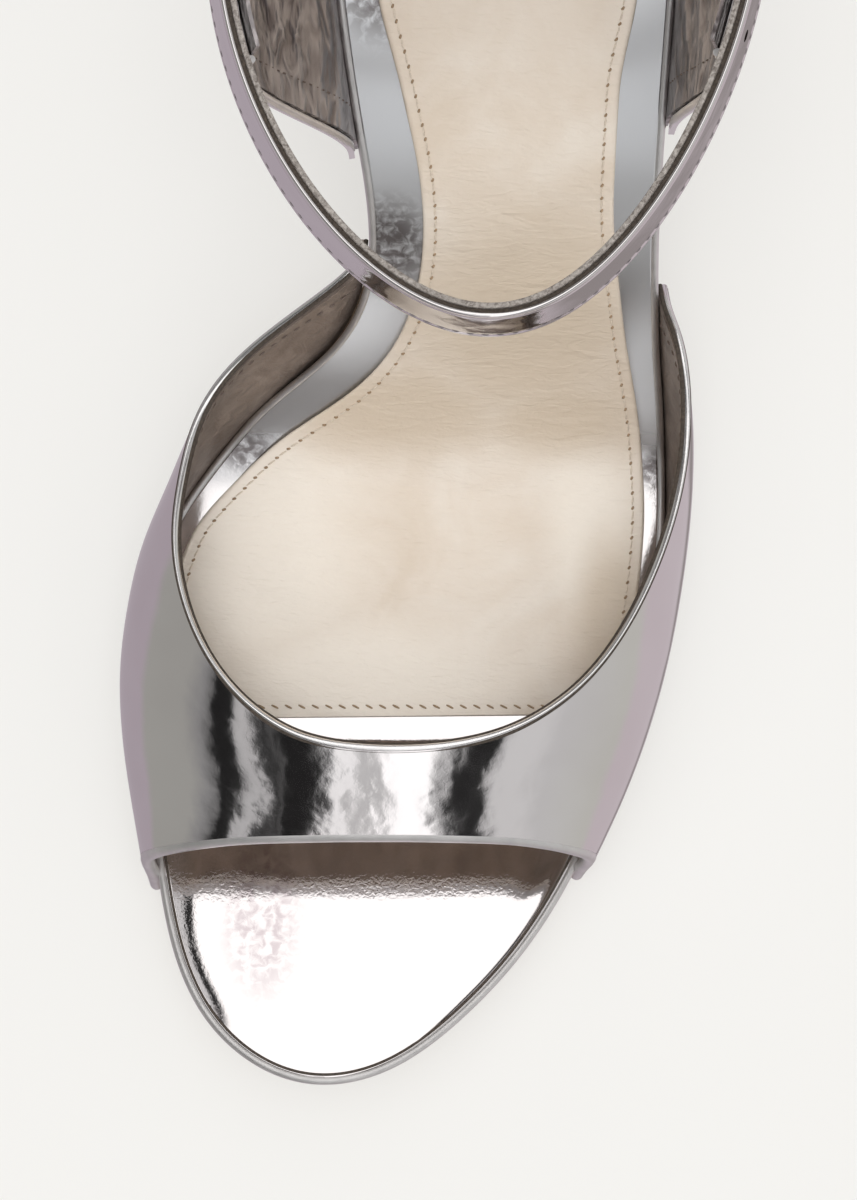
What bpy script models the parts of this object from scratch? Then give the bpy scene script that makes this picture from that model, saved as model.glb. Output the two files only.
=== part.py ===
"""Left strappy heeled sandal: open toe, wide vamp, closed counter, buckled ankle strap, block heel.

Metres, +Z up. The toe points to -Y and the outer side of the foot to +X. Everything follows one
last: a plan outline, a rise in side view and cross sections that carry the vamp.
"""
from collections import namedtuple
from math import cos, pi, sin

import bmesh
import bpy
import numpy as np
from mathutils import Matrix, Vector

# Last: the foot form that every piece follows
SOLE_LENGTH = 0.221
BALL_WIDTH = 0.081
SEAT_RISE = 0.057
TOE_SPRING = 0.0085
SPRING_END = 0.30
SEAT_CUP = 0.0012
CUP_START, CUP_FULL, CUP_BACK = 0.50, 0.80, 0.87
CROWN_HEIGHT = 0.029
FLARE = 0.011
BELLY_HEIGHT = 0.013
BELLY_SHARE = 0.4
FULLNESS = 2.25

# Thicknesses, and the gap that neighbouring pieces keep
OUTSOLE_THICKNESS = 0.0025
FOOTBED_THICKNESS = 0.0045
SOCK_THICKNESS = 0.0009
LEATHER = 0.0015
CLEARANCE = 0.0003
EDGE_ROUND = 0.0012
OUTSOLE_SKIVE = 0.0010
EDGE_EASE = 0.0004
BED_TOP = OUTSOLE_THICKNESS + CLEARANCE + FOOTBED_THICKNESS

# Heel: breast is its front face, under the waist
HEEL_BREAST = 0.178
HEEL_TIP_BREAST = 0.187
HEEL_TIP_LENGTH = 0.028
HEEL_TIP_WIDTH = 0.031
HEEL_TIP_CENTRE = 0.0118
TIP_FULLNESS = 2.7
TOP_PIECE_HEIGHT = 0.005
SWEEP = 1.7

# Counter: its front edges at the foot and at the top, then its run as rises of the strap's width
COUNTER_BULGE = 0.0032
COUNTER_MEDIAL, COUNTER_LATERAL = 0.1428, 0.1460
COUNTER_MEDIAL_TOP, COUNTER_LATERAL_TOP = 0.1455, 0.1464
COUNTER_TOP = 0.88
COUNTER_MIDDLE = 0.35
COUNTER_NECK = -0.15
COUNTER_HOLD = -2.2
COUNTER_UPRIGHT = 0.33

# Ankle strap: an egg-shaped loop, measured inside its lower edge. Its front is tapered, and the
# outer front is drawn in towards the instep.
LOOP_WIDTH = 0.0752
LOOP_FRONT = 0.0578
LOOP_BACK = 0.0446
LOOP_CENTRE = (0.0085, 0.168)
LOOP_SHIFT = 0.0025
LOOP_TAPER = 0.14
LOOP_SKEW = 0.0028
STRAP_BASE = 0.108
STRAP_CLIMB = 0.008
STRAP_LEAN = 0.0018
STRAP_WIDTH = 0.010
STRAP_THICKNESS = 0.0022

# Buckle, on the outer side; places along the loop run from 0 at the front to 1 at the back
PRONG_HOLE = 0.562
PRONG_SLOT = 3.2
HOLE_STEP = 0.055
HOLE_RADIUS = 0.0009
HOLE_REACH = 2.4
END_BAR, HINGE_BAR = 0.532, 0.594
CLIMB_START, CLIMB_END = 0.006, 0.004
CLIMB_GAPS = 2.5
WIRE_RADIUS = 0.0008
PRONG_RADIUS = 0.0006
PRONG_OVERHANG = 0.009
PRONG_LIFT = 0.0004
FRAME_OVERHANG = 0.0019
FRAME_BEND = 0.0016
TAB_THICKNESS = 0.0009
TAB_MARGIN = 0.06
TAB_FLAT, TAB_END = 0.012, 0.665
TAB_SLOT = (0.0060, 0.0024, 0.0080)
TAB_SLOT_PLACE = 0.006
KEEPER_PLACE, KEEPER_WIDTH, KEEPER_THICKNESS = 0.705, 0.0045, 0.0009
KEEPER_BEND = 0.0007
KEEPER_FOOT = 0.3
STRAP_START, STRAP_TIP = 0.030, 0.775
STRAP_CALM = 0.02
TIP_ROUND = 0.030
TIP_BLUNT = 0.96

# Plan outline of the footbed: edges as shares of BALL_WIDTH, along as a share of SOLE_LENGTH
Edge = namedtuple("Edge", "along medial lateral")
EDGES = (
    Edge(0.000, -0.202, -0.202),
    Edge(0.014, -0.337, -0.057),
    Edge(0.045, -0.431, 0.060),
    Edge(0.090, -0.493, 0.177),
    Edge(0.145, -0.527, 0.275),
    Edge(0.204, -0.549, 0.348),
    Edge(0.281, -0.565, 0.415),
    Edge(0.353, -0.546, 0.452),
    Edge(0.407, -0.496, 0.464),
    Edge(0.452, -0.409, 0.463),
    Edge(0.489, -0.311, 0.457),
    Edge(0.520, -0.200, 0.448),
    Edge(0.548, -0.138, 0.442),
    Edge(0.593, -0.111, 0.437),
    Edge(0.656, -0.133, 0.441),
    Edge(0.747, -0.169, 0.456),
    Edge(0.837, -0.185, 0.472),
    Edge(0.923, -0.159, 0.449),
    Edge(0.973, -0.062, 0.356),
    Edge(1.000, 0.146, 0.146),
)

# Side view: how steep the shank climbs, as a share of its steepest
Slope = namedtuple("Slope", "along steepness")
SLOPES = (
    Slope(0.000, 0.00),
    Slope(0.410, 0.00),
    Slope(0.450, 0.20),
    Slope(0.475, 0.50),
    Slope(0.525, 0.84),
    Slope(0.560, 1.00),
    Slope(0.615, 0.94),
    Slope(0.670, 0.64),
    Slope(0.724, 0.34),
    Slope(0.783, 0.13),
    Slope(0.850, 0.10),
    Slope(1.000, 0.10),
)

# Cross sections of the last: flares as shares of FLARE, crown of CROWN_HEIGHT, ridge of BALL_WIDTH
Form = namedtuple("Form", "along medial_flare lateral_flare crown ridge")
FORMS = (
    Form(0.13, 0.02, 0.02, 0.42, -0.11),
    Form(0.18, 0.05, 0.06, 0.69, -0.10),
    Form(0.24, 0.09, 0.10, 0.99, -0.08),
    Form(0.29, 0.10, 0.12, 1.15, -0.06),
    Form(0.35, 0.07, 0.14, 1.35, -0.05),
    Form(0.41, 0.08, 0.19, 1.46, -0.01),
    Form(0.46, 0.40, 0.23, 1.58, 0.03),
    Form(0.49, 0.69, 0.20, 1.70, 0.05),
    Form(0.515, 0.95, 0.15, 1.80, 0.08),
    Form(0.545, 0.80, 0.07, 1.90, 0.12),
    Form(0.575, 0.15, 0.02, 2.00, 0.16),
)

# Vamp edges: at each share of the climb from foot to crown, where it starts and stops along the sole
Reach = namedtuple("Reach", "along front_medial front_lateral top_medial top_lateral")
REACHES = (
    Reach(0.00, 0.1455, 0.1530, 0.593, 0.565),
    Reach(0.05, 0.1500, 0.1555, 0.584, 0.559),
    Reach(0.10, 0.1540, 0.1580, 0.574, 0.550),
    Reach(0.15, 0.1580, 0.1605, 0.560, 0.541),
    Reach(0.20, 0.1620, 0.1630, 0.541, 0.532),
    Reach(0.25, 0.1650, 0.1655, 0.517, 0.519),
    Reach(0.30, 0.1680, 0.1680, 0.485, 0.500),
    Reach(0.35, 0.1705, 0.1700, 0.455, 0.455),
    Reach(0.40, 0.1725, 0.1720, 0.425, 0.402),
    Reach(0.45, 0.1743, 0.1740, 0.392, 0.354),
    Reach(0.50, 0.1757, 0.1755, 0.356, 0.317),
    Reach(0.55, 0.1770, 0.1770, 0.319, 0.291),
    Reach(0.60, 0.1780, 0.1780, 0.292, 0.2735),
    Reach(0.70, 0.1790, 0.1790, 0.2615, 0.2525),
    Reach(0.80, 0.1795, 0.1795, 0.246, 0.243),
    Reach(0.90, 0.1800, 0.1800, 0.240, 0.239),
    Reach(1.00, 0.1800, 0.1800, 0.238, 0.238),
)

# Sock: how far its edge lies inside the footbed's, as shares of BALL_WIDTH
Margin = namedtuple("Margin", "along medial lateral")
SOCK_FRONT = 0.2600
SOCK_BEVEL = 0.0004
MARGINS = (
    Margin(0.26, 0.040, 0.038),
    Margin(0.40, 0.042, 0.038),
    Margin(0.45, 0.057, 0.042),
    Margin(0.50, 0.077, 0.053),
    Margin(0.55, 0.094, 0.069),
    Margin(0.62, 0.102, 0.087),
    Margin(0.68, 0.094, 0.088),
    Margin(0.75, 0.073, 0.067),
    Margin(0.85, 0.068, 0.066),
    Margin(1.00, 0.068, 0.068),
)

# Outsole: where it stands out to carry the walls of vamp and counter, as a share of their thickness
Spread = namedtuple("Spread", "along share")
SPREADS = (
    Spread(0.000, 0.00),
    Spread(0.145, 0.00),
    Spread(0.175, 0.95),
    Spread(0.545, 0.95),
    Spread(0.585, 0.00),
    Spread(0.655, 0.00),
    Spread(0.680, 0.95),
    Spread(1.000, 0.95),
)


def finish(name, colour, roughness, metallic=0.0):
    """Material with one Principled surface."""
    material = bpy.data.materials.new(name)
    material.use_nodes = True
    surface = material.node_tree.nodes["Principled BSDF"]
    surface.inputs["Base Color"].default_value = (*colour, 1.0)
    surface.inputs["Roughness"].default_value = roughness
    surface.inputs["Metallic"].default_value = metallic
    material.diffuse_color = (*colour, 1.0)
    return material


def spline(knots, values):
    """Natural cubic spline: its second derivatives come from one set of linear equations."""
    x, v = np.asarray(knots, float), np.asarray(values, float)
    gap = np.diff(x)
    rule = np.eye(len(x))
    right = np.zeros(len(x))
    for i in range(1, len(x) - 1):
        rule[i, i - 1:i + 2] = gap[i - 1], 2 * (gap[i - 1] + gap[i]), gap[i]
        right[i] = 6 * ((v[i + 1] - v[i]) / gap[i] - (v[i] - v[i - 1]) / gap[i - 1])
    bend = np.linalg.solve(rule, right)

    def at(place):
        place = np.asarray(place, float)
        i = np.clip(np.searchsorted(x, place) - 1, 0, len(gap) - 1)
        left, rest = (x[i + 1] - place) / gap[i], (place - x[i]) / gap[i]
        curved = (left ** 3 - left) * bend[i] + (rest ** 3 - rest) * bend[i + 1]
        return left * v[i] + rest * v[i + 1] + curved * gap[i] ** 2 / 6

    return at


def smooth(rows, column):
    """Cubic through one column of a table that never overshoots its rows."""
    x = np.array([row.along for row in rows])
    v = np.array([getattr(row, column) for row in rows])
    gap = np.diff(x)
    rate = np.diff(v) / gap
    slope = np.zeros(len(x))
    slope[0], slope[-1] = rate[0], rate[-1]
    for i in range(1, len(x) - 1):
        if rate[i - 1] * rate[i] > 0:
            before, after = 2 * gap[i] + gap[i - 1], gap[i] + 2 * gap[i - 1]
            slope[i] = (before + after) / (before / rate[i - 1] + after / rate[i])

    def at(place):
        place = np.clip(np.asarray(place, float), x[0], x[-1])
        i = np.clip(np.searchsorted(x, place) - 1, 0, len(gap) - 1)
        s = (place - x[i]) / gap[i]
        level_part = v[i] * (1 + 2 * s) * (1 - s) ** 2 + v[i + 1] * s * s * (3 - 2 * s)
        return level_part + gap[i] * (slope[i] * s * (1 - s) ** 2 + slope[i + 1] * s * s * (s - 1))

    return at


def ease(share):
    share = np.clip(share, 0, 1)
    return share * share * (3 - 2 * share)


def turn_at(y):
    """Turn of the outline, from 0 at the toe to 1 at the heel, that lies at distance y."""
    return np.arccos(np.clip(1 - 2 * np.asarray(y, float) / SOLE_LENGTH, -1, 1)) / pi


def close_edges():
    """Edge offset over the whole turn: inner side below 0, outer side above, closed at the heel."""
    ring = [(-turn_at(edge.along * SOLE_LENGTH), edge.medial) for edge in EDGES[:0:-1]]
    ring += [(turn_at(edge.along * SOLE_LENGTH), edge.lateral) for edge in EDGES[:-1]]
    knots, values = [list(column) for column in zip(*ring)]
    before, after = [k - 2 for k in knots[-4:]], [k + 2 for k in knots[:4]]
    return spline(before + knots + after, values[-4:] + values + values[:4])


EDGE_OFFSET = close_edges()


def wrap(turn):
    return (np.asarray(turn, float) + 1) % 2 - 1


def outline(turn, inset=0.0):
    """Plan point of the footbed's edge, moved inwards by inset."""
    def point(place):
        place = wrap(place)
        return np.stack([BALL_WIDTH * EDGE_OFFSET(place), SOLE_LENGTH * (1 - np.cos(pi * place)) / 2], -1)

    step = 1e-3
    along = point(turn + step) - point(turn - step)
    along /= np.linalg.norm(along, axis=-1, keepdims=True)
    inward = np.stack([-along[..., 1], along[..., 0]], -1)
    return point(turn) + inward * np.broadcast_to(inset, np.shape(turn))[..., None]


def edge_x(side, y):
    return BALL_WIDTH * EDGE_OFFSET(side * turn_at(y))


def climb_profile():
    """Height of the shank over the tread, summed from its steepness."""
    along = np.linspace(0, 1, 801)
    steep = smooth(SLOPES, "steepness")(along)
    height = np.concatenate([[0], np.cumsum((steep[1:] + steep[:-1]) / 2)])
    return along, SEAT_RISE * height / height[-1]


PROFILE = climb_profile()


def underside(y):
    along = np.clip(np.asarray(y, float) / SOLE_LENGTH, 0, 1)
    return np.interp(along, *PROFILE) + TOE_SPRING * np.clip(1 - along / SPRING_END, 0, 1) ** 2


def level(x, y, depth):
    """Height of the layer that lies depth above the outsole's underside, measured square to it."""
    step = 1e-4
    slope = (underside(y + step) - underside(y - step)) / (2 * step)
    fade = ease((y / SOLE_LENGTH - CUP_START) / (CUP_FULL - CUP_START))
    straight = np.minimum(y, CUP_BACK * SOLE_LENGTH)
    medial, lateral = edge_x(-1, straight), edge_x(1, straight)
    across = (2 * x - medial - lateral) / (lateral - medial + step)
    behind = (y - straight) / (SOLE_LENGTH * (1 - CUP_BACK))
    bowl = np.minimum(across ** 2 + behind ** 2, 1)
    return underside(y) + SEAT_CUP * fade * bowl + depth * np.sqrt(1 + slope ** 2)


def add_object(name, verts, faces, material):
    mesh = bpy.data.meshes.new(name)
    mesh.from_pydata([tuple(map(float, v)) for v in verts], [], faces)
    work = bmesh.new()
    work.from_mesh(mesh)
    bmesh.ops.remove_doubles(work, verts=work.verts, dist=1e-6)
    bmesh.ops.dissolve_degenerate(work, edges=work.edges, dist=1e-7)
    work.to_mesh(mesh)
    work.free()
    mesh.materials.append(material)
    mesh.shade_smooth()
    mesh.set_sharp_from_angle(angle=np.radians(35))
    part = bpy.data.objects.new(name, mesh)
    SANDAL.objects.link(part)
    return part


def stack(name, layers, material):
    """Closed solid from layers of equal grids: their rims are lofted, the first and last are filled."""
    rows, columns = layers[0].shape[:2]
    rim = [(i, 0) for i in range(rows)] + [(rows - 1, k) for k in range(1, columns)]
    rim += [(i, columns - 1) for i in range(rows - 2, -1, -1)] + [(0, k) for k in range(columns - 2, 0, -1)]
    size = rows * columns
    verts = np.concatenate([layer.reshape(-1, 3) for layer in layers])
    faces = []
    for j in range(len(layers) - 1):
        for here, there in zip(rim, rim[1:] + rim[:1]):
            a = j * size + here[0] * columns + here[1]
            b = j * size + there[0] * columns + there[1]
            faces.append((a, a + size, b + size, b))
    top = (len(layers) - 1) * size
    for i in range(rows - 1):
        for k in range(columns - 1):
            a = i * columns + k
            faces.append((a, a + columns, a + columns + 1, a + 1))
            a += top
            faces.append((a, a + 1, a + columns + 1, a + columns))
    used = sorted({v for face in faces for v in face})
    place = {old: new for new, old in enumerate(used)}
    return add_object(name, verts[used], [tuple(place[v] for v in face) for face in faces], material)


ACROSS = np.linspace(0, 1, 5)
ROW_SHARES = np.linspace(0, 1, 61)
ROW_BUNCHING = 0.3
TURNS = ROW_SHARES + ROW_BUNCHING * np.sin(2 * pi * ROW_SHARES) / (2 * pi)


def rows_between(first, last):
    """The sole's shared rows from one turn to another, so that its layers stay parallel."""
    spare = TURNS[1] / 3
    return np.concatenate([[first], TURNS[(TURNS > first + spare) & (TURNS < last - spare)], [last]])


def sole_grid(turns, margin, depth):
    """Grid of one level of the sole: rows run from toe to heel, columns from inner to outer edge."""
    medial = outline(-turns, margin(-1, turns))
    lateral = outline(turns, margin(1, turns))
    flat = medial[:, None] + (lateral - medial)[:, None] * ACROSS[None, :, None]
    return np.dstack([flat, level(flat[..., 0], flat[..., 1], depth)])


def sheet_of_sole(name, first, last, rings, material):
    """Slab between two turns. rings holds a margin function and a height for each level, bottom first."""
    turns = rows_between(first, last)
    layers = [sole_grid(turns, margin, depth) for margin, depth in rings]
    return stack(name, layers, material)


def even(inset):
    return lambda side, turns: np.full(len(turns), inset)


def along_of(turns):
    return (1 - np.cos(pi * turns)) / 2


def make_outsole(material):
    spread = smooth(SPREADS, "share")

    def margin(inset):
        return lambda side, turns: inset - (LEATHER + CLEARANCE) * spread(along_of(turns))

    rings = (
        (margin(OUTSOLE_SKIVE), 0.0),
        (margin(CLEARANCE), EDGE_EASE),
        (margin(CLEARANCE), OUTSOLE_THICKNESS - EDGE_EASE),
        (margin(EDGE_EASE), OUTSOLE_THICKNESS),
    )
    return sheet_of_sole("outsole", 0.0, turn_at(HEEL_BREAST - CLEARANCE), rings, material)


def make_footbed(material):
    base = OUTSOLE_THICKNESS + CLEARANCE
    rings = [(even(EDGE_EASE), base), (even(0.0), base + EDGE_EASE)]
    for angle in (0, pi / 4, pi / 2):
        rings.append((even(EDGE_ROUND * (1 - cos(angle))), BED_TOP - EDGE_ROUND * (1 - sin(angle))))
    return sheet_of_sole("footbed", 0.0, 1.0, rings, material)


def make_sock(material):
    shares = {-1: smooth(MARGINS, "medial"), 1: smooth(MARGINS, "lateral")}

    def margin(inset):
        return lambda side, turns: inset + BALL_WIDTH * shares[side](along_of(turns))

    base = BED_TOP + CLEARANCE
    rings = (
        (margin(0.0), base),
        (margin(0.0), base + SOCK_THICKNESS - SOCK_BEVEL),
        (margin(SOCK_BEVEL), base + SOCK_THICKNESS),
    )
    return sheet_of_sole("sock", turn_at(SOCK_FRONT * SOLE_LENGTH), 1.0, rings, material)


def tip_grid(turns, height):
    """Plan of the heel's tip: a flat breast and a full round back, with the rows of the sole's grid."""
    share = (turns - turns[0]) / (turns[-1] - turns[0])
    angle = share * pi / 2
    half = HEEL_TIP_WIDTH / 2 * np.cos(angle) ** (2 / TIP_FULLNESS)
    half[-1] = 0.0
    y = HEEL_TIP_BREAST + HEEL_TIP_LENGTH * np.sin(angle) ** (2 / TIP_FULLNESS)
    x = HEEL_TIP_CENTRE + half[:, None] * (2 * ACROSS - 1)[None]
    return np.dstack([x, np.broadcast_to(y[:, None], x.shape), np.full(x.shape, height)])


def make_heel(material):
    turns = rows_between(turn_at(HEEL_BREAST), 1.0)
    top = sole_grid(turns, even(-LEATHER - CLEARANCE), OUTSOLE_THICKNESS)
    tip = tip_grid(turns, TOP_PIECE_HEIGHT + CLEARANCE)
    layers = []
    for share in np.linspace(1, 0, 9):
        narrowing = 1 - (1 - share) ** SWEEP
        layer = top * (1 - share) + tip * share
        layer[..., :2] = (top * (1 - narrowing) + tip * narrowing)[..., :2]
        layers.append(layer)
    return stack("heel_block", layers, material)


def make_top_piece(material):
    turns = rows_between(turn_at(HEEL_BREAST), 1.0)
    return stack("top_piece", [tip_grid(turns, 0.0), tip_grid(turns, TOP_PIECE_HEIGHT)], material)


def half_section(side, y):
    """Cross section of the last at y, from the footbed's underside up its edge, belly and crown."""
    along = y / SOLE_LENGTH
    flare = FLARE * FORM[side](along)
    crown = CROWN_HEIGHT * FORM["crown"](along)
    ridge = BALL_WIDTH * FORM["ridge"](along)
    foot = edge_x(side, y) + side * CLEARANCE
    low, rim = level(foot, y, OUTSOLE_THICKNESS + CLEARANCE), level(foot, y, BED_TOP)
    belly = min(BELLY_HEIGHT, BELLY_SHARE * crown)
    share = np.linspace(0, 1, 24, endpoint=False)
    angle = np.linspace(0, pi / 2, 80)
    widest = foot + side * flare
    x = np.concatenate([
        np.full(8, foot),
        foot + side * flare * (1 - (1 - share) ** 2),
        ridge + (widest - ridge) * np.cos(angle) ** (2 / FULLNESS),
    ])
    z = np.concatenate([
        np.linspace(low, rim, 8, endpoint=False),
        rim + belly * share,
        rim + belly + (crown - belly) * np.sin(angle) ** (2 / FULLNESS),
    ])
    return x, z


def last_point(side, y, climb):
    """Point of the last's surface at a share of the way from the foot to the crown."""
    x, z = half_section(side, y)
    run = np.concatenate([[0], np.cumsum(np.hypot(np.diff(x), np.diff(z)))])
    return np.interp(climb * run[-1], run, x), y, np.interp(climb * run[-1], run, z)


FORM = {
    -1: smooth(FORMS, "medial_flare"),
    1: smooth(FORMS, "lateral_flare"),
    "crown": smooth(FORMS, "crown"),
    "ridge": smooth(FORMS, "ridge"),
}


def shell(name, grid, thickness, material):
    """Open surface with an outward wall. The grid's rows go up and its columns anticlockwise."""
    rows, columns = grid.shape[:2]
    faces = []
    for i in range(rows - 1):
        for k in range(columns - 1):
            a = i * columns + k
            faces.append((a, a + 1, a + columns + 1, a + columns))
    part = add_object(name, grid.reshape(-1, 3), faces, material)
    wall = part.modifiers.new("wall", "SOLIDIFY")
    wall.thickness = thickness
    wall.offset = 1.0
    wall.use_even_offset = True
    wall.use_quality_normals = True
    return part


def upper(name, grid, feet, material):
    """Wall of the upper over an inner grid, whose rows go up and columns anticlockwise.

    The outer face is the inner one moved along its normals. The rows in feet stand on the sole.
    """
    normal = np.cross(np.gradient(grid, axis=1), np.gradient(grid, axis=0))
    outer = grid + LEATHER * normal / np.linalg.norm(normal, axis=-1, keepdims=True)
    for row in feet:
        outer[row, :, 2] = level(outer[row, :, 0], outer[row, :, 1], OUTSOLE_THICKNESS + CLEARANCE)
    return stack(name, [grid, outer], material)


def make_vamp(material):
    """Band over the toes and ball: rows run back from its front edge, columns up and over the crown."""
    climbs = np.concatenate([[0], np.linspace(0.015, 1, 17)])
    sides = [(-1, climb) for climb in climbs] + [(1, climb) for climb in climbs[-2::-1]]
    names = {-1: "medial", 1: "lateral"}
    foot = REACHES[0]
    ends = SOLE_LENGTH * foot.front_medial, SOLE_LENGTH * foot.top_medial
    rows = SOLE_LENGTH * along_of(rows_between(turn_at(ends[0]), turn_at(ends[1])))
    shares = (rows - ends[0]) / (ends[1] - ends[0])
    columns = []
    for side, climb in sides:
        front = SOLE_LENGTH * smooth(REACHES, "front_" + names[side])(climb)
        back = SOLE_LENGTH * smooth(REACHES, "top_" + names[side])(climb)
        columns.append([last_point(side, front + (back - front) * share, climb) for share in shares])
    grid = np.array(columns)[:, ::-1]
    return upper("vamp", grid, (0, -1), material)


def loop_plan(turn):
    """Plan point of the ankle loop inside its lower edge, 0 at the front and 1 at the back."""
    angle = pi * turn
    front, back = np.clip(np.cos(angle), 0, 1), np.clip(-np.cos(angle), 0, 1)
    length = np.where(np.cos(angle) > 0, LOOP_FRONT, LOOP_BACK)
    half = LOOP_WIDTH / 2 * (1 - LOOP_TAPER * front ** 2)
    x = LOOP_CENTRE[0] + LOOP_SHIFT * back - LOOP_SKEW * front * np.sin(angle) ** 2 + half * np.sin(angle)
    return np.stack([x, LOOP_CENTRE[1] - length * np.cos(angle)], -1)


def band_point(turn, rise, outward):
    """Point of the strap's band. rise is a share of its width, outward a distance from its inner face."""
    turn, rise, outward = np.broadcast_arrays(*[np.asarray(v, float) for v in (turn, rise, outward)])
    step = 1e-3
    along = loop_plan(turn + step) - loop_plan(turn - step)
    along /= np.linalg.norm(along, axis=-1, keepdims=True)
    normal = np.stack([along[..., 1], -along[..., 0]], -1)
    slant = np.hypot(STRAP_WIDTH, STRAP_LEAN)
    plan = loop_plan(turn) + normal * (outward * STRAP_WIDTH / slant - STRAP_LEAN * rise)[..., None]
    z = STRAP_BASE + STRAP_CLIMB * (1 - np.cos(pi * turn)) / 2
    z = z + STRAP_WIDTH * rise + outward * STRAP_LEAN / slant
    return np.concatenate([plan, z[..., None]], -1)


def loop_turn(y):
    length = LOOP_FRONT if y < LOOP_CENTRE[1] else LOOP_BACK
    return np.arccos(np.clip((LOOP_CENTRE[1] - y) / length, -1, 1)) / pi


def make_counter(material):
    """Closed back: each column climbs from the seat's edge to the inside of the ankle strap."""
    count = 37
    foot_turn = -np.linspace(turn_at(COUNTER_MEDIAL), 2 - turn_at(COUNTER_LATERAL), count)
    top_turn = -np.linspace(loop_turn(COUNTER_MEDIAL_TOP), 2 - loop_turn(COUNTER_LATERAL_TOP), count)
    inside = -CLEARANCE - LEATHER
    foot_plan = outline(foot_turn, -CLEARANCE)
    low, rim = [np.dstack([foot_plan[None], level(*foot_plan.T, depth)[None]])[0]
                for depth in (OUTSOLE_THICKNESS + CLEARANCE, BED_TOP)]
    around = np.sin(np.linspace(0, pi, count)) ** 2
    swell = outline(foot_turn) - outline(foot_turn, 1.0)
    neck = band_point(top_turn, COUNTER_NECK, inside)
    lift = COUNTER_UPRIGHT * (neck[:, 2] - rim[:, 2])
    pull = rim + np.column_stack([swell * (COUNTER_BULGE * around)[:, None], lift])
    hold = band_point(top_turn, COUNTER_HOLD, inside)
    rows = [low]
    for share in np.linspace(0, 1, 10):
        rest = 1 - share
        rows.append(rim * rest ** 3 + 3 * pull * rest ** 2 * share
                    + 3 * hold * rest * share ** 2 + neck * share ** 3)
    rows += [band_point(top_turn, rise, inside) for rise in (COUNTER_MIDDLE, COUNTER_TOP)]
    grid = np.array(rows)[:, ::-1]
    return upper("counter", grid, (0,), material)


def lift_over_buckle(turn):
    """Outward shift of the strap where it climbs over the buckle's hinge bar and the folded tab."""
    full = STRAP_THICKNESS + TAB_THICKNESS + CLIMB_GAPS * CLEARANCE
    start, end = 2 + END_BAR - CLIMB_START, 2 + HINGE_BAR - CLIMB_END
    return full * ease((turn - start) / (end - start))


def ribbon(name, turns, spans, outward, thickness, material):
    """Leather band along the loop. spans gives the lowest and highest rise at each turn."""
    low, high = spans
    share = np.linspace(0, 1, 4)[:, None]
    rise = low[None] + (high - low)[None] * share
    grid = band_point(turns[None], rise, outward[None])
    return shell(name, grid, thickness, material)


def cut(part, cutter):
    hole = part.modifiers.new("cut", "BOOLEAN")
    hole.operation = "DIFFERENCE"
    hole.solver = "EXACT"
    hole.object = cutter


def add_cutter(name, work):
    mesh = bpy.data.meshes.new(name)
    work.to_mesh(mesh)
    work.free()
    cutter = bpy.data.objects.new(name, mesh)
    cutter.hide_render = True
    cutter.display_type = "WIRE"
    CUTTERS.objects.link(cutter)
    return cutter


def band_matrix(turn, rise, outward):
    """Frame on the band: x along the strap, y up its width, z straight out of it."""
    step = 1e-3
    along = Vector(band_point(turn + step, rise, outward) - band_point(turn - step, rise, outward))
    up = Vector(band_point(turn, rise + 0.1, outward) - band_point(turn, rise - 0.1, outward))
    out = along.normalized().cross(up.normalized()).normalized()
    side = out.cross(along.normalized())
    turned = Matrix((along.normalized(), side, out)).transposed().to_4x4()
    return Matrix.Translation(Vector(band_point(turn, rise, outward))) @ turned


def make_ankle_strap(material):
    start, end = HINGE_BAR + STRAP_START, 2 + STRAP_TIP
    climb, crest = 2 + END_BAR - STRAP_CALM, 2 + HINGE_BAR + STRAP_CALM
    turns = np.concatenate([
        np.linspace(start, climb, 62, endpoint=False),
        np.linspace(climb, crest, 12, endpoint=False),
        np.linspace(crest, end - TIP_ROUND, 8, endpoint=False),
        end - TIP_ROUND * np.cos(np.linspace(0, pi / 2, 6)),
    ])
    past = np.clip((turns - end + TIP_ROUND) / TIP_ROUND, 0, TIP_BLUNT)
    half = 0.5 * np.sqrt(1 - past ** 2)
    strap = ribbon("ankle_strap", turns, (0.5 - half, 0.5 + half), lift_over_buckle(turns),
                   STRAP_THICKNESS, material)
    work = bmesh.new()
    for step in range(-1, 4):
        turn = 2 + PRONG_HOLE - HOLE_STEP * step
        centre = float(lift_over_buckle(turn)) + STRAP_THICKNESS / 2
        stretch = Matrix.Diagonal((PRONG_SLOT if step == 0 else 1.0, 1.0, 1.0, 1.0))
        bmesh.ops.create_cone(work, cap_ends=True, segments=10, radius1=HOLE_RADIUS,
                              radius2=HOLE_RADIUS, depth=HOLE_REACH * STRAP_THICKNESS,
                              matrix=band_matrix(turn, 0.5, centre) @ stretch)
    cut(strap, add_cutter("strap_holes", work))
    return strap


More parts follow.
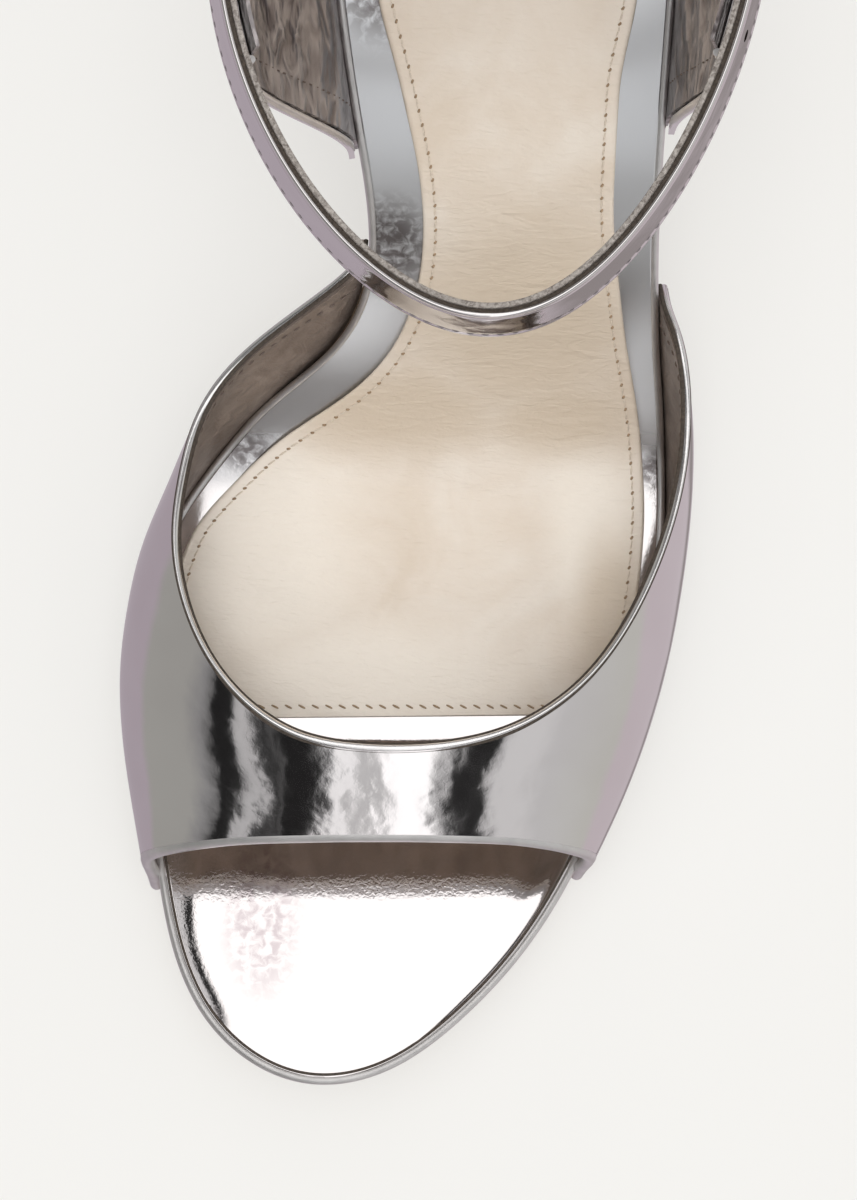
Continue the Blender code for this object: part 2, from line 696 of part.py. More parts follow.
def make_buckle_tab(material):
    """Strip folded round the hinge bar: a hook of leather in front, its tail lying on the strap."""
    radius = WIRE_RADIUS + CLEARANCE
    centre = STRAP_THICKNESS + CLEARANCE - radius
    hook = np.linspace(1.25 * pi, 0.5 * pi, 8)
    turns = np.concatenate([HINGE_BAR + radius / (pi * LOOP_BACK) * np.cos(hook),
                            np.linspace(HINGE_BAR + TAB_FLAT, TAB_END, 7)])
    outward = np.concatenate([centre + radius * np.sin(hook), np.full(7, STRAP_THICKNESS + CLEARANCE)])
    low = np.full(len(turns), TAB_MARGIN)
    tab = ribbon("buckle_tab", turns, (low, 1 - low), outward, TAB_THICKNESS, material)
    work = bmesh.new()
    bmesh.ops.create_cube(work, size=1.0, matrix=band_matrix(HINGE_BAR - TAB_SLOT_PLACE, 0.5, centre)
                          @ Matrix.Diagonal((*TAB_SLOT, 1.0)))
    cut(tab, add_cutter("prong_slot", work))
    return tab


def wire(name, points, radius, material, closed):
    """Round metal wire through the points."""
    curve = bpy.data.curves.new(name, "CURVE")
    curve.dimensions = "3D"
    curve.bevel_depth = radius
    curve.bevel_resolution = 2
    curve.use_fill_caps = True
    line = curve.splines.new("POLY")
    line.points.add(len(points) - 1)
    for point, place in zip(line.points, points):
        point.co = (*map(float, place), 1.0)
    line.use_cyclic_u = closed
    curve.materials.append(material)
    part = bpy.data.objects.new(name, curve)
    SANDAL.objects.link(part)
    return part


def bar_heights():
    """Centre of the hinge bar inside the folded tab, and of the end bar over the strap."""
    hinge = STRAP_THICKNESS - WIRE_RADIUS
    end = float(lift_over_buckle(2 + END_BAR)) + STRAP_THICKNESS + CLEARANCE + WIRE_RADIUS
    return hinge, end


def make_buckle_frame(material):
    hinge, end = bar_heights()
    reach = FRAME_OVERHANG / STRAP_WIDTH
    corners = ((HINGE_BAR, -reach, hinge), (END_BAR, -reach, end),
               (END_BAR, 1 + reach, end), (HINGE_BAR, 1 + reach, hinge))
    places = [Vector(band_point(*corner)) for corner in corners]
    points = []
    for i, corner in enumerate(places):
        before = (places[i - 1] - corner).normalized() * FRAME_BEND
        after = (places[(i + 1) % 4] - corner).normalized() * FRAME_BEND
        for share in np.linspace(0, 1, 5):
            points.append(corner + before * (1 - share) ** 2 + after * share ** 2)
    return wire("buckle_frame", points, WIRE_RADIUS, material, True)


def make_buckle_prong(material):
    hinge, end = bar_heights()
    over = end + WIRE_RADIUS + CLEARANCE + PRONG_RADIUS
    root = HINGE_BAR - (WIRE_RADIUS + CLEARANCE) / (pi * LOOP_BACK)
    route = ((root, hinge + PRONG_LIFT), (END_BAR, over), (END_BAR - PRONG_OVERHANG, over))
    points = [band_point(turn, 0.5, outward) for turn, outward in route]
    return wire("buckle_prong", points, PRONG_RADIUS, material, False)


def make_keeper(material):
    """Leather loop sewn at the strap's two edges, holding the free end down."""
    gap = CLEARANCE / STRAP_WIDTH
    inner = KEEPER_FOOT * STRAP_THICKNESS
    outer = float(lift_over_buckle(2 + KEEPER_PLACE)) + STRAP_THICKNESS + CLEARANCE
    half = KEEPER_WIDTH / 2 / (LOOP_BACK * pi)
    low = [(-gap, inner)]
    for angle in np.linspace(0, pi / 2, 4):
        rise = -gap + KEEPER_BEND / STRAP_WIDTH * (1 - cos(angle))
        low.append((rise, outer - KEEPER_BEND * (1 - sin(angle))))
    path = low + [(1 - rise, out) for rise, out in low[::-1]]
    grid = np.array([[band_point(KEEPER_PLACE + shift, rise, out) for shift in (half, 0.0, -half)]
                     for rise, out in path])
    return shell("strap_keeper", grid[:, ::-1], KEEPER_THICKNESS, material)


def settle(parts):
    """Stands the sandal on z = 0 with its box centred on the origin."""
    bpy.context.view_layer.update()
    graph = bpy.context.evaluated_depsgraph_get()
    points = []
    for part in parts:
        finished = part.evaluated_get(graph)
        points += [part.matrix_world @ vertex.co for vertex in finished.to_mesh().vertices]
        finished.to_mesh_clear()
    low, high = np.min(points, axis=0), np.max(points, axis=0)
    for part in parts + list(CUTTERS.objects):
        part.location -= Vector(((low[0] + high[0]) / 2, (low[1] + high[1]) / 2, low[2]))
    bpy.context.view_layer.update()


for leftover in list(bpy.data.objects):
    bpy.data.objects.remove(leftover)
SANDAL = bpy.data.collections.new("heeled_sandal")
CUTTERS = bpy.data.collections.new("cutters")
bpy.context.scene.collection.children.link(SANDAL)
bpy.context.scene.collection.children.link(CUTTERS)

mirror_leather = finish("mirror_leather", (0.66, 0.62, 0.64), 0.16, 0.9)
sock_leather = finish("sock_leather", (0.66, 0.56, 0.45), 0.6)
sole_leather = finish("sole_leather", (0.30, 0.22, 0.16), 0.55)
rubber = finish("top_piece_rubber", (0.07, 0.065, 0.06), 0.7)
metal = finish("buckle_metal", (0.72, 0.70, 0.68), 0.18, 1.0)

sandal_parts = [
    make_outsole(sole_leather),
    make_footbed(mirror_leather),
    make_sock(sock_leather),
    make_vamp(mirror_leather),
    make_counter(mirror_leather),
    make_ankle_strap(mirror_leather),
    make_buckle_tab(mirror_leather),
    make_buckle_frame(metal),
    make_buckle_prong(metal),
    make_keeper(mirror_leather),
    make_heel(mirror_leather),
    make_top_piece(rubber),
]
settle(sandal_parts)
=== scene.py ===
"""Left strappy heeled sandal in rose-silver mirror leather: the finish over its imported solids.

Metres, +Z up. Pieces are worked out on the last, with its toe tip at y = 0, and then moved into the frame.
"""
from collections import namedtuple
from math import cos, pi, radians, sin

import bmesh
import bpy
import numpy as np
from mathutils import Matrix, Vector


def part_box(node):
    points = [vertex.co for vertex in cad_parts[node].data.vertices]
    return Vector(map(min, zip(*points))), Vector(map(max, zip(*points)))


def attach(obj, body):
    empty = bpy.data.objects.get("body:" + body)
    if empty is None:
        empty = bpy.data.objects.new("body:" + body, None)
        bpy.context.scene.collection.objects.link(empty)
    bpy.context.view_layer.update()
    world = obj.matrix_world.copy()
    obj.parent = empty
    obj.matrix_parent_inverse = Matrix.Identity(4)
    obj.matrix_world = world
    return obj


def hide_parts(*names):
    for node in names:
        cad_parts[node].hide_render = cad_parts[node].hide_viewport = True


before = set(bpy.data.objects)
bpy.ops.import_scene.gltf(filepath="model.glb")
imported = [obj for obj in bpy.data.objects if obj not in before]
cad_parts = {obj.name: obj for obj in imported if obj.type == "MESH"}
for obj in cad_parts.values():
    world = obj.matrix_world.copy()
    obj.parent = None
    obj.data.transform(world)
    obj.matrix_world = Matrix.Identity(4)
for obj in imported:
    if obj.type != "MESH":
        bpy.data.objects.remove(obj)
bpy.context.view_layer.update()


# Studio: pale floor, plain backdrop, a broad soft sun and the camera above the toe.
# The mirror leather shows what stands round it. Over the front hang long strips of card, parallel to
# the foot: roll is the angle from the zenith towards +X at which a strip ends. Behind them is a softbox.

CAMERA_DISTANCE = 0.8
CAMERA_TILT = radians(3.0)
PIXELS_TO_A_METRE = 6200.0
PICTURE_HEIGHT = 1200.0
SENSOR = 36.0
PICTURE_CENTRE = 0.077
HEEL_TIP_CENTRE = 0.0118

tip_low, tip_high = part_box("top_piece")
TO_FRAME = np.array([(tip_low.x + tip_high.x) / 2 - HEEL_TIP_CENTRE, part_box("footbed")[0].y, 0.0])

Strip = namedtuple("Strip", "roll tone")
STRIPS = (
    Strip(-90, 0.37),
    Strip(-60, 0.36),
    Strip(-52, 0.27),
    Strip(-47, 0.16),
    Strip(-45, 0.015),
    Strip(-38, 0.015),
    Strip(-36, 0.45),
    Strip(-32, 0.55),
    Strip(-30, 0.08),
    Strip(-27, 0.02),
    Strip(-25, 0.10),
    Strip(-23, 0.015),
    Strip(-14, 0.015),
    Strip(-12, 0.20),
    Strip(-10, 1.00),
    Strip(-7, 1.05),
    Strip(-5, 0.50),
    Strip(-2, 0.60),
    Strip(0, 1.30),
    Strip(9, 1.30),
    Strip(11, 0.70),
    Strip(14, 0.30),
    Strip(16, 0.02),
    Strip(26, 0.02),
    Strip(28, 0.45),
    Strip(31, 0.66),
    Strip(40, 0.66),
    Strip(50, 0.58),
    Strip(90, 0.55),
)
LOW_SIDES = 60
LOW_TINT = np.array([1.0, 1.0, 0.94])
LOW_FRONT = ((0.30, 0.285, 0.275), (0.52, 0.52, 0.51))
FLOOR_GLOW = (
    (-0.40, (0.43, 0.38, 0.42)),
    (0.20, (0.54, 0.485, 0.515)),
    (0.30, (0.30, 0.27, 0.27)),
    (0.37, (0.30, 0.27, 0.27)),
    (0.48, (0.58, 0.52, 0.55)),
)
SOFTBOX_TONE = (1.30, 1.29, 1.27)
SOFTBOX_EDGE = (radians(22), radians(13))
SOFTBOX_RISE = (0.25, 0.5)
SOFTBOX_BACK = (-0.25, -0.02)
LOW_FRONT_SIDES = (-0.25, 0.25)
STRIPS_START = (-0.98, -0.90)
GLOW_TOP = (-0.24, -0.03)


def add_node(tree, kind, inputs=(), **settings):
    """New node. inputs gives each named socket a value or another node's output."""
    made = tree.nodes.new(kind)
    for key, value in settings.items():
        setattr(made, key, value)
    for key, value in dict(inputs).items():
        if isinstance(value, bpy.types.NodeSocket):
            tree.links.new(value, made.inputs[key])
        else:
            made.inputs[key].default_value = value
    return made


def work_out(tree, operation, first, second=0.0):
    """One Math node's result."""
    return add_node(tree, "ShaderNodeMath", {0: first, 1: second}, operation=operation).outputs[0]


def between(tree, value, low, high):
    """Smooth share of the way from low to high."""
    made = add_node(tree, "ShaderNodeMapRange", {"Value": value, "From Min": low, "From Max": high},
                    interpolation_type="SMOOTHSTEP")
    return made.outputs[0]


def blend_colours(tree, share, first, second):
    """Colour between two colours or sockets."""
    made = add_node(tree, "ShaderNodeMix", data_type="RGBA")
    for socket, value in zip((made.inputs[0], made.inputs[6], made.inputs[7]), (share, first, second)):
        if isinstance(value, bpy.types.NodeSocket):
            tree.links.new(value, socket)
        else:
            socket.default_value = value if np.isscalar(value) else (*value, 1.0)
    return made.outputs[2]


def ramp_colours(tree, share, stops):
    """Colour read off a ramp of (place, colour) stops."""
    made = add_node(tree, "ShaderNodeValToRGB", {0: share})
    points = made.color_ramp.elements
    while len(points) < len(stops):
        points.new(1.0)
    for point, (place, colour) in zip(points, stops):
        point.position = place
        point.color = (*colour, 1.0)
    return made.outputs[0]


def build_sky():
    """World that the leather mirrors: strips over the front, a softbox behind them, a glow from below."""
    world = bpy.data.worlds.new("studio")
    world.use_nodes = True
    tree = world.node_tree
    direction = add_node(tree, "ShaderNodeTexCoord").outputs["Generated"]
    way = add_node(tree, "ShaderNodeSeparateXYZ", {0: direction})
    x, y, z = way.outputs
    roll = work_out(tree, "ARCTAN2", x, work_out(tree, "MAXIMUM", z, 0.0))
    share = work_out(tree, "ADD", work_out(tree, "DIVIDE", roll, pi), 0.5)
    tones = []
    for strip in STRIPS:
        tint = LOW_TINT if abs(strip.roll) >= LOW_SIDES else np.ones(3)
        tones.append((strip.roll / 180 + 0.5, tuple(strip.tone * tint)))
    strips = ramp_colours(tree, share, tones)
    low_front = blend_colours(tree, between(tree, x, *LOW_FRONT_SIDES), *LOW_FRONT)
    front = blend_colours(tree, between(tree, y, *STRIPS_START), low_front, strips)
    high = work_out(tree, "MULTIPLY", between(tree, z, *SOFTBOX_RISE), between(tree, y, *SOFTBOX_BACK))
    high = work_out(tree, "MULTIPLY", high, between(tree, work_out(tree, "ABSOLUTE", roll), *SOFTBOX_EDGE))
    above = blend_colours(tree, high, front, SOFTBOX_TONE)
    stops = [(place + 0.5, tone) for place, tone in FLOOR_GLOW]
    glow = ramp_colours(tree, work_out(tree, "ADD", x, 0.5), stops)
    sky = blend_colours(tree, between(tree, z, *GLOW_TOP), glow, above)
    tree.links.new(sky, tree.nodes["Background"].inputs["Color"])
    bpy.context.scene.world = world


def plain_finish(name, colour, roughness, glow):
    """Matt finish of the stage, which also glows a little."""
    material = bpy.data.materials.new(name)
    material.use_nodes = True
    surface = material.node_tree.nodes["Principled BSDF"].inputs
    surface["Base Color"].default_value = (*colour, 1.0)
    surface["Roughness"].default_value = roughness
    surface["Emission Color"].default_value = (*colour, 1.0)
    surface["Emission Strength"].default_value = glow
    return material


STAGE_SIDES = 96
FLOOR_LIGHT = 1.87


def add_stage(name, radius, rise, material):
    """Round floor, or a wall standing on its rim."""
    angle = np.linspace(0, 2 * pi, STAGE_SIDES, endpoint=False)
    ring = np.stack([radius * np.cos(angle), radius * np.sin(angle), 0 * angle], -1)
    mesh = bpy.data.meshes.new(name)
    if rise:
        here = np.arange(STAGE_SIDES)
        there = (here + 1) % STAGE_SIDES
        faces = np.stack([there, here, here + STAGE_SIDES, there + STAGE_SIDES], -1)
        mesh.from_pydata(np.concatenate([ring, ring + [0, 0, rise]]).tolist(), [], faces.tolist())
    else:
        mesh.from_pydata(ring.tolist(), [], [list(range(STAGE_SIDES))])
    mesh.materials.append(material)
    made = bpy.data.objects.new(name, mesh)
    bpy.context.scene.collection.objects.link(made)
    made.visible_glossy = False
    return made


def hang_sun(name, lean, width, power):
    """Soft sun: lean is its tilt off the vertical about X and Y, width the angle that it fills."""
    light = bpy.data.lights.new(name, "SUN")
    light.energy = power
    light.angle = radians(width)
    made = bpy.data.objects.new(name, light)
    made.rotation_euler = (radians(lean[0]), radians(lean[1]), 0)
    made.visible_glossy = False
    bpy.context.scene.collection.objects.link(made)


bpy.context.scene.view_settings.view_transform = "Standard"
build_sky()
add_stage("floor", 8.0, 0.0, plain_finish("pale_floor", (0.30, 0.2965, 0.288), 0.9, FLOOR_LIGHT))
backdrop = add_stage("backdrop", 7.9, 5.0, plain_finish("pale_backdrop", (0.86, 0.85, 0.83), 0.9, 0.9))
backdrop.visible_diffuse = False
backdrop.visible_shadow = False
hang_sun("soft_sun", (14, -8), 80, 1.3)
hang_sun("overhead", (3, 0), 25, 0.65)

camera = bpy.data.cameras.new("camera")
camera.sensor_width = SENSOR
camera.lens = SENSOR * PIXELS_TO_A_METRE * CAMERA_DISTANCE / PICTURE_HEIGHT
camera_object = bpy.data.objects.new("camera", camera)
aim = TO_FRAME + [0, PICTURE_CENTRE, 0]
camera_object.location = aim + CAMERA_DISTANCE * np.array([0, -sin(CAMERA_TILT), cos(CAMERA_TILT)])
camera_object.rotation_euler = (CAMERA_TILT, 0, 0)
bpy.context.scene.collection.objects.link(camera_object)
bpy.context.scene.camera = camera_object


# Outsole: a 2.5 mm leather sole from the toe to the heel's breast, cemented under the footbed.
# It stands out where it carries the walls of the vamp and the counter, and its edge is rounded.
# It lies flat under the ball, springs up at the toe and climbs the shank.

SOLE_LENGTH = 0.221
BALL_WIDTH = 0.081
SEAT_RISE = 0.057
TOE_SPRING = 0.0085
SPRING_END = 0.30
SEAT_CUP = 0.0012
CUP_START, CUP_FULL, CUP_BACK = 0.50, 0.80, 0.87
OUTSOLE_THICKNESS = 0.0025
FOOTBED_THICKNESS = 0.0045
LEATHER = 0.0015
CLEARANCE = 0.0003
BED_BASE = OUTSOLE_THICKNESS + CLEARANCE
BED_TOP = BED_BASE + FOOTBED_THICKNESS
HEEL_BREAST = 0.178

Edge = namedtuple("Edge", "along medial lateral")
EDGES = (
    Edge(0.000, -0.202, -0.202),
    Edge(0.014, -0.337, -0.057),
    Edge(0.045, -0.431, 0.060),
    Edge(0.090, -0.493, 0.177),
    Edge(0.145, -0.527, 0.275),
    Edge(0.204, -0.549, 0.348),
    Edge(0.281, -0.565, 0.415),
    Edge(0.353, -0.546, 0.452),
    Edge(0.407, -0.496, 0.464),
    Edge(0.452, -0.409, 0.463),
    Edge(0.489, -0.311, 0.457),
    Edge(0.520, -0.200, 0.448),
    Edge(0.548, -0.138, 0.442),
    Edge(0.593, -0.111, 0.437),
    Edge(0.656, -0.133, 0.441),
    Edge(0.747, -0.169, 0.456),
    Edge(0.837, -0.185, 0.472),
    Edge(0.923, -0.159, 0.449),
    Edge(0.973, -0.062, 0.356),
    Edge(1.000, 0.146, 0.146),
)
Slope = namedtuple("Slope", "along steepness")
SLOPES = (
    Slope(0.000, 0.00),
    Slope(0.410, 0.00),
    Slope(0.450, 0.20),
    Slope(0.475, 0.50),
    Slope(0.525, 0.84),
    Slope(0.560, 1.00),
    Slope(0.615, 0.94),
    Slope(0.670, 0.64),
    Slope(0.724, 0.34),
    Slope(0.783, 0.13),
    Slope(0.850, 0.10),
    Slope(1.000, 0.10),
)
Spread = namedtuple("Spread", "along share")
SPREADS = (
    Spread(0.000, 0.00),
    Spread(0.145, 0.00),
    Spread(0.175, 0.95),
    Spread(0.545, 0.95),
    Spread(0.585, 0.00),
    Spread(0.655, 0.00),
    Spread(0.680, 0.95),
    Spread(1.000, 0.95),
)


def spline(knots, values):
    """Natural cubic spline: its second derivatives come from one set of linear equations."""
    x, v = np.asarray(knots, float), np.asarray(values, float)
    gap = np.diff(x)
    rule = np.eye(len(x))
    right = np.zeros(len(x))
    for i in range(1, len(x) - 1):
        rule[i, i - 1:i + 2] = gap[i - 1], 2 * (gap[i - 1] + gap[i]), gap[i]
        right[i] = 6 * ((v[i + 1] - v[i]) / gap[i] - (v[i] - v[i - 1]) / gap[i - 1])
    bend = np.linalg.solve(rule, right)

    def at(place):
        place = np.asarray(place, float)
        i = np.clip(np.searchsorted(x, place) - 1, 0, len(gap) - 1)
        left, rest = (x[i + 1] - place) / gap[i], (place - x[i]) / gap[i]
        curved = (left ** 3 - left) * bend[i] + (rest ** 3 - rest) * bend[i + 1]
        return left * v[i] + rest * v[i + 1] + curved * gap[i] ** 2 / 6

    return at


def smooth(rows, column):
    """Cubic through one column of a table that never overshoots its rows."""
    x = np.array([row.along for row in rows])
    v = np.array([getattr(row, column) for row in rows])
    gap = np.diff(x)
    rate = np.diff(v) / gap
    slope = np.zeros(len(x))
    slope[0], slope[-1] = rate[0], rate[-1]
    for i in range(1, len(x) - 1):
        if rate[i - 1] * rate[i] > 0:
            before, after = 2 * gap[i] + gap[i - 1], gap[i] + 2 * gap[i - 1]
            slope[i] = (before + after) / (before / rate[i - 1] + after / rate[i])

    def at(place):
        place = np.clip(np.asarray(place, float), x[0], x[-1])
        i = np.clip(np.searchsorted(x, place) - 1, 0, len(gap) - 1)
        s = (place - x[i]) / gap[i]
        level_part = v[i] * (1 + 2 * s) * (1 - s) ** 2 + v[i + 1] * s * s * (3 - 2 * s)
        return level_part + gap[i] * (slope[i] * s * (1 - s) ** 2 + slope[i + 1] * s * s * (s - 1))

    return at


def ease(share):
    share = np.clip(share, 0, 1)
    return share * share * (3 - 2 * share)


def turn_at(y):
    """Turn of the outline, from 0 at the toe to 1 at the heel, that lies at distance y."""
    return np.arccos(np.clip(1 - 2 * np.asarray(y, float) / SOLE_LENGTH, -1, 1)) / pi


def along_of(turns):
    return (1 - np.cos(pi * turns)) / 2


def close_edges():
    """Edge offset over the whole turn: inner side below 0, outer side above, closed at the heel."""
    ring = [(-turn_at(edge.along * SOLE_LENGTH), edge.medial) for edge in EDGES[:0:-1]]
    ring += [(turn_at(edge.along * SOLE_LENGTH), edge.lateral) for edge in EDGES[:-1]]
    knots, values = [list(column) for column in zip(*ring)]
    before, after = [k - 2 for k in knots[-4:]], [k + 2 for k in knots[:4]]
    return spline(before + knots + after, values[-4:] + values + values[:4])


EDGE_OFFSET = close_edges()


def outline(turn, inset=0.0):
    """Plan point of the footbed's edge, moved inwards by inset along the edge's normal."""
    def point(place):
        place = (np.asarray(place, float) + 1) % 2 - 1
        return np.stack([BALL_WIDTH * EDGE_OFFSET(place), SOLE_LENGTH * (1 - np.cos(pi * place)) / 2], -1)

    step = 1e-3
    along = point(turn + step) - point(turn - step)
    along /= np.linalg.norm(along, axis=-1, keepdims=True)
    inward = np.stack([-along[..., 1], along[..., 0]], -1)
    return point(turn) + inward * np.broadcast_to(inset, np.shape(turn))[..., None]


def edge_x(side, y):
    return BALL_WIDTH * EDGE_OFFSET(side * turn_at(y))


def climb_profile():
    """Height of the shank over the tread, summed from its steepness."""
    along = np.linspace(0, 1, 2401)
    steep = smooth(SLOPES, "steepness")(along)
    height = np.concatenate([[0], np.cumsum((steep[1:] + steep[:-1]) / 2)])
    return along, SEAT_RISE * height / height[-1]


PROFILE = climb_profile()


def underside(y):
    along = np.clip(np.asarray(y, float) / SOLE_LENGTH, 0, 1)
    return np.interp(along, *PROFILE) + TOE_SPRING * np.clip(1 - along / SPRING_END, 0, 1) ** 2


def level(x, y, depth):
    """Height of the layer that lies depth above the outsole's underside, measured square to it."""
    step = 1e-4
    slope = (underside(y + step) - underside(y - step)) / (2 * step)
    fade = ease((y / SOLE_LENGTH - CUP_START) / (CUP_FULL - CUP_START))
    straight = np.minimum(y, CUP_BACK * SOLE_LENGTH)
    medial, lateral = edge_x(-1, straight), edge_x(1, straight)
    across = (2 * x - medial - lateral) / (lateral - medial + step)
    behind = (y - straight) / (SOLE_LENGTH * (1 - CUP_BACK))
    bowl = np.minimum(across ** 2 + behind ** 2, 1)
    return underside(y) + SEAT_CUP * fade * bowl + depth * np.sqrt(1 + slope ** 2)


def unit(vectors):
    return vectors / np.linalg.norm(vectors, axis=-1, keepdims=True)


def add_piece(name, verts, faces, material, slot, nodes=(), crease=40):
    """Closed mesh on the last: merged, turned outwards, smoothed and moved into the frame."""
    mesh = bpy.data.meshes.new(name)
    mesh.from_pydata((verts + TO_FRAME).tolist(), [], [list(face) for face in faces])
    work = bmesh.new()
    work.from_mesh(mesh)
    bmesh.ops.remove_doubles(work, verts=work.verts, dist=2e-6)
    bmesh.ops.dissolve_degenerate(work, edges=work.edges, dist=1e-7)
    bmesh.ops.recalc_face_normals(work, faces=work.faces)
    work.to_mesh(mesh)
    work.free()
    mesh.materials.append(material)
    mesh.shade_smooth()
    mesh.set_sharp_from_angle(angle=radians(crease))
    piece = bpy.data.objects.new(name, mesh)
    bpy.context.scene.collection.objects.link(piece)
    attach(piece, "root")
    if nodes:
        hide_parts(*nodes)
    return piece


def quads_of(rows, columns, start=0):
    """Faces of a grid of points, stored row by row from start."""
    a = start + (np.arange(rows - 1)[:, None] * columns + np.arange(columns - 1)[None]).ravel()
    return np.stack([a, a + columns, a + columns + 1, a + 1], -1)


def rim_of(rows, columns):
    """Indices of a grid's border, once round."""
    index = np.arange(rows * columns).reshape(rows, columns)
    return np.concatenate([index[:, 0], index[-1, 1:], index[-2::-1, -1], index[0, -2:0:-1]])


def stack(layers):
    """Closed body from layers of equal grids: their rims are lofted, the first and last are filled."""
    rows, columns = layers[0].shape[:2]
    size = rows * columns
    rim = rim_of(rows, columns)
    after = np.roll(rim, -1)
    faces = [quads_of(rows, columns), quads_of(rows, columns, (len(layers) - 1) * size)[:, ::-1]]
    for j in range(len(layers) - 1):
        faces.append(np.stack([rim, rim + size, after + size, after], -1) + j * size)
    verts = np.concatenate([layer.reshape(-1, 3) for layer in layers])
    faces = np.concatenate(faces)
    used, faces = np.unique(faces, return_inverse=True)
    return verts[used], faces.reshape(-1, 4)


ROW_CROWDING = 0.3
SPARE_STEP = 0.3
SOLE_ROWS = np.linspace(0, 1, 241)
SOLE_TURNS = SOLE_ROWS + ROW_CROWDING * np.sin(2 * pi * SOLE_ROWS) / (2 * pi)
ACROSS = (1 - np.cos(pi * np.linspace(0, 1, 33))) / 2


def rows_between(first, last):
    """The sole's shared rows from one turn to another, so that its layers stay parallel."""
    spare = SPARE_STEP * SOLE_TURNS[1]
    inside = (SOLE_TURNS > first + spare) & (SOLE_TURNS < last - spare)
    return np.concatenate([[first], SOLE_TURNS[inside], [last]])


def sole_grid(turns, margin, depth):
    """One level of the sole: rows run from toe to heel, columns from inner to outer edge."""
    medial = outline(-turns, margin(-1, turns))
    lateral = outline(turns, margin(1, turns))
    flat = medial[:, None] + (lateral - medial)[:, None] * ACROSS[None, :, None]
    return np.dstack([flat, level(flat[..., 0], flat[..., 1], depth)])


def noise(tree, coordinates, size, detail=2.0, distortion=0.0, roughness=0.5):
    """Cloudy pattern whose lumps measure about size."""
    made = add_node(tree, "ShaderNodeTexNoise", {
        "Vector": coordinates, "Scale": 1 / size, "Detail": detail, "Roughness": roughness,
        "Distortion": distortion,
    })
    return made.outputs["Fac"]


def stretched(tree, scale):
    """Object coordinates, stretched along each axis by its own factor."""
    source = add_node(tree, "ShaderNodeTexCoord").outputs["Object"]
    made = add_node(tree, "ShaderNodeMapping", {"Vector": source, "Scale": scale})
    return made.outputs["Vector"]


def bumps(tree, layers):
    """Normal roughened by several heights. layers pairs each height with its depth in metres."""
    normal = None
    for height, depth in layers:
        inputs = {"Height": height, "Distance": depth, "Strength": 1.0}
        if normal is not None:
            inputs["Normal"] = normal
        normal = add_node(tree, "ShaderNodeBump", inputs).outputs["Normal"]
    return normal


def start_finish(name, roughness, metallic=0.0):
    """Material with one Principled surface, and its node tree and inputs."""
    material = bpy.data.materials.new(name)
    material.use_nodes = True
    tree = material.node_tree
    surface = tree.nodes["Principled BSDF"].inputs
    surface["Roughness"].default_value = roughness
    surface["Metallic"].default_value = metallic
    return material, tree, surface


def sole_leather():
    """Pale tan sole leather with a fine fibrous grain."""
    material, tree, surface = start_finish("sole_leather", 0.55)
    plain = stretched(tree, (1, 1, 1))
    mottle = noise(tree, plain, 0.006, 4.0)
    tree.links.new(ramp_colours(tree, mottle, ((0.3, (0.27, 0.19, 0.13)), (0.7, (0.36, 0.27, 0.19)))),
                   surface["Base Color"])
    tree.links.new(bumps(tree, ((noise(tree, plain, 0.0006, 3.0), 2e-5),)), surface["Normal"])
    return material


def outsole_margin(inset):
    spread = smooth(SPREADS, "share")
    return lambda side, turns: inset - (LEATHER + CLEARANCE) * spread(along_of(turns))


SOLE_LEATHER = sole_leather()
outsole_turns = rows_between(0.0, turn_at(HEEL_BREAST - CLEARANCE))
outsole_rings = (
    (0.0012, 0.0), (0.0007, 0.0002), (0.0004, 0.0005), (0.0002, 0.0010),
    (0.0002, OUTSOLE_THICKNESS - 0.0004), (0.0003, OUTSOLE_THICKNESS - 0.0001), (0.0005, OUTSOLE_THICKNESS),
)
outsole_layers = [sole_grid(outsole_turns, outsole_margin(inset), depth) for inset, depth in outsole_rings]
add_piece("outsole_leather", *stack(outsole_layers), SOLE_LEATHER, "sole_leather", ["outsole"])


# Footbed: 4.5 mm of board and padding, covered with the same mirror leather as the upper.
# The rim is a rounded fold, and a shallow dyed line is pressed inside it round the toe.
# It shows bare at the toe and as two strips beside the sock.

RIM_SLOPE = 0.0011
RIM_DROP = 0.00085
GROOVE_INSET = 0.0014
GROOVE_HALF = 0.00022
GROOVE_DEPTH = 0.00030
DYE_RADIUS = 0.00020
DYE_HEIGHT = 0.00012
DYE_SINK = 0.00008
DYE_SHORT = 0.008
LINE_END = 0.056
LINE_FADE = 0.010
RIM_LEAN = 0.00015
RIM_ROUNDNESS = 0.35
RIM_LIFT = 0.00005
RIM_INSET, RIM_HALF, RIM_HEIGHT = 0.00048, 0.00070, 0.00060
SHANK_START, SHANK_FULL = 0.085, 0.110
DISH_DEPTH = 0.0008
DISH_START, DISH_DEEPEST, DISH_END = 0.020, 0.039, 0.056
RISE_MEDIAL, RISE_LATERAL, RISE_SLOPE = 0.0044, 0.0010, 0.32
RISE_START, RISE_FADE_IN = 0.003, 0.012
RISE_END, RISE_FADE_OUT = 0.055, 0.008
DISH_HELD = 0.006

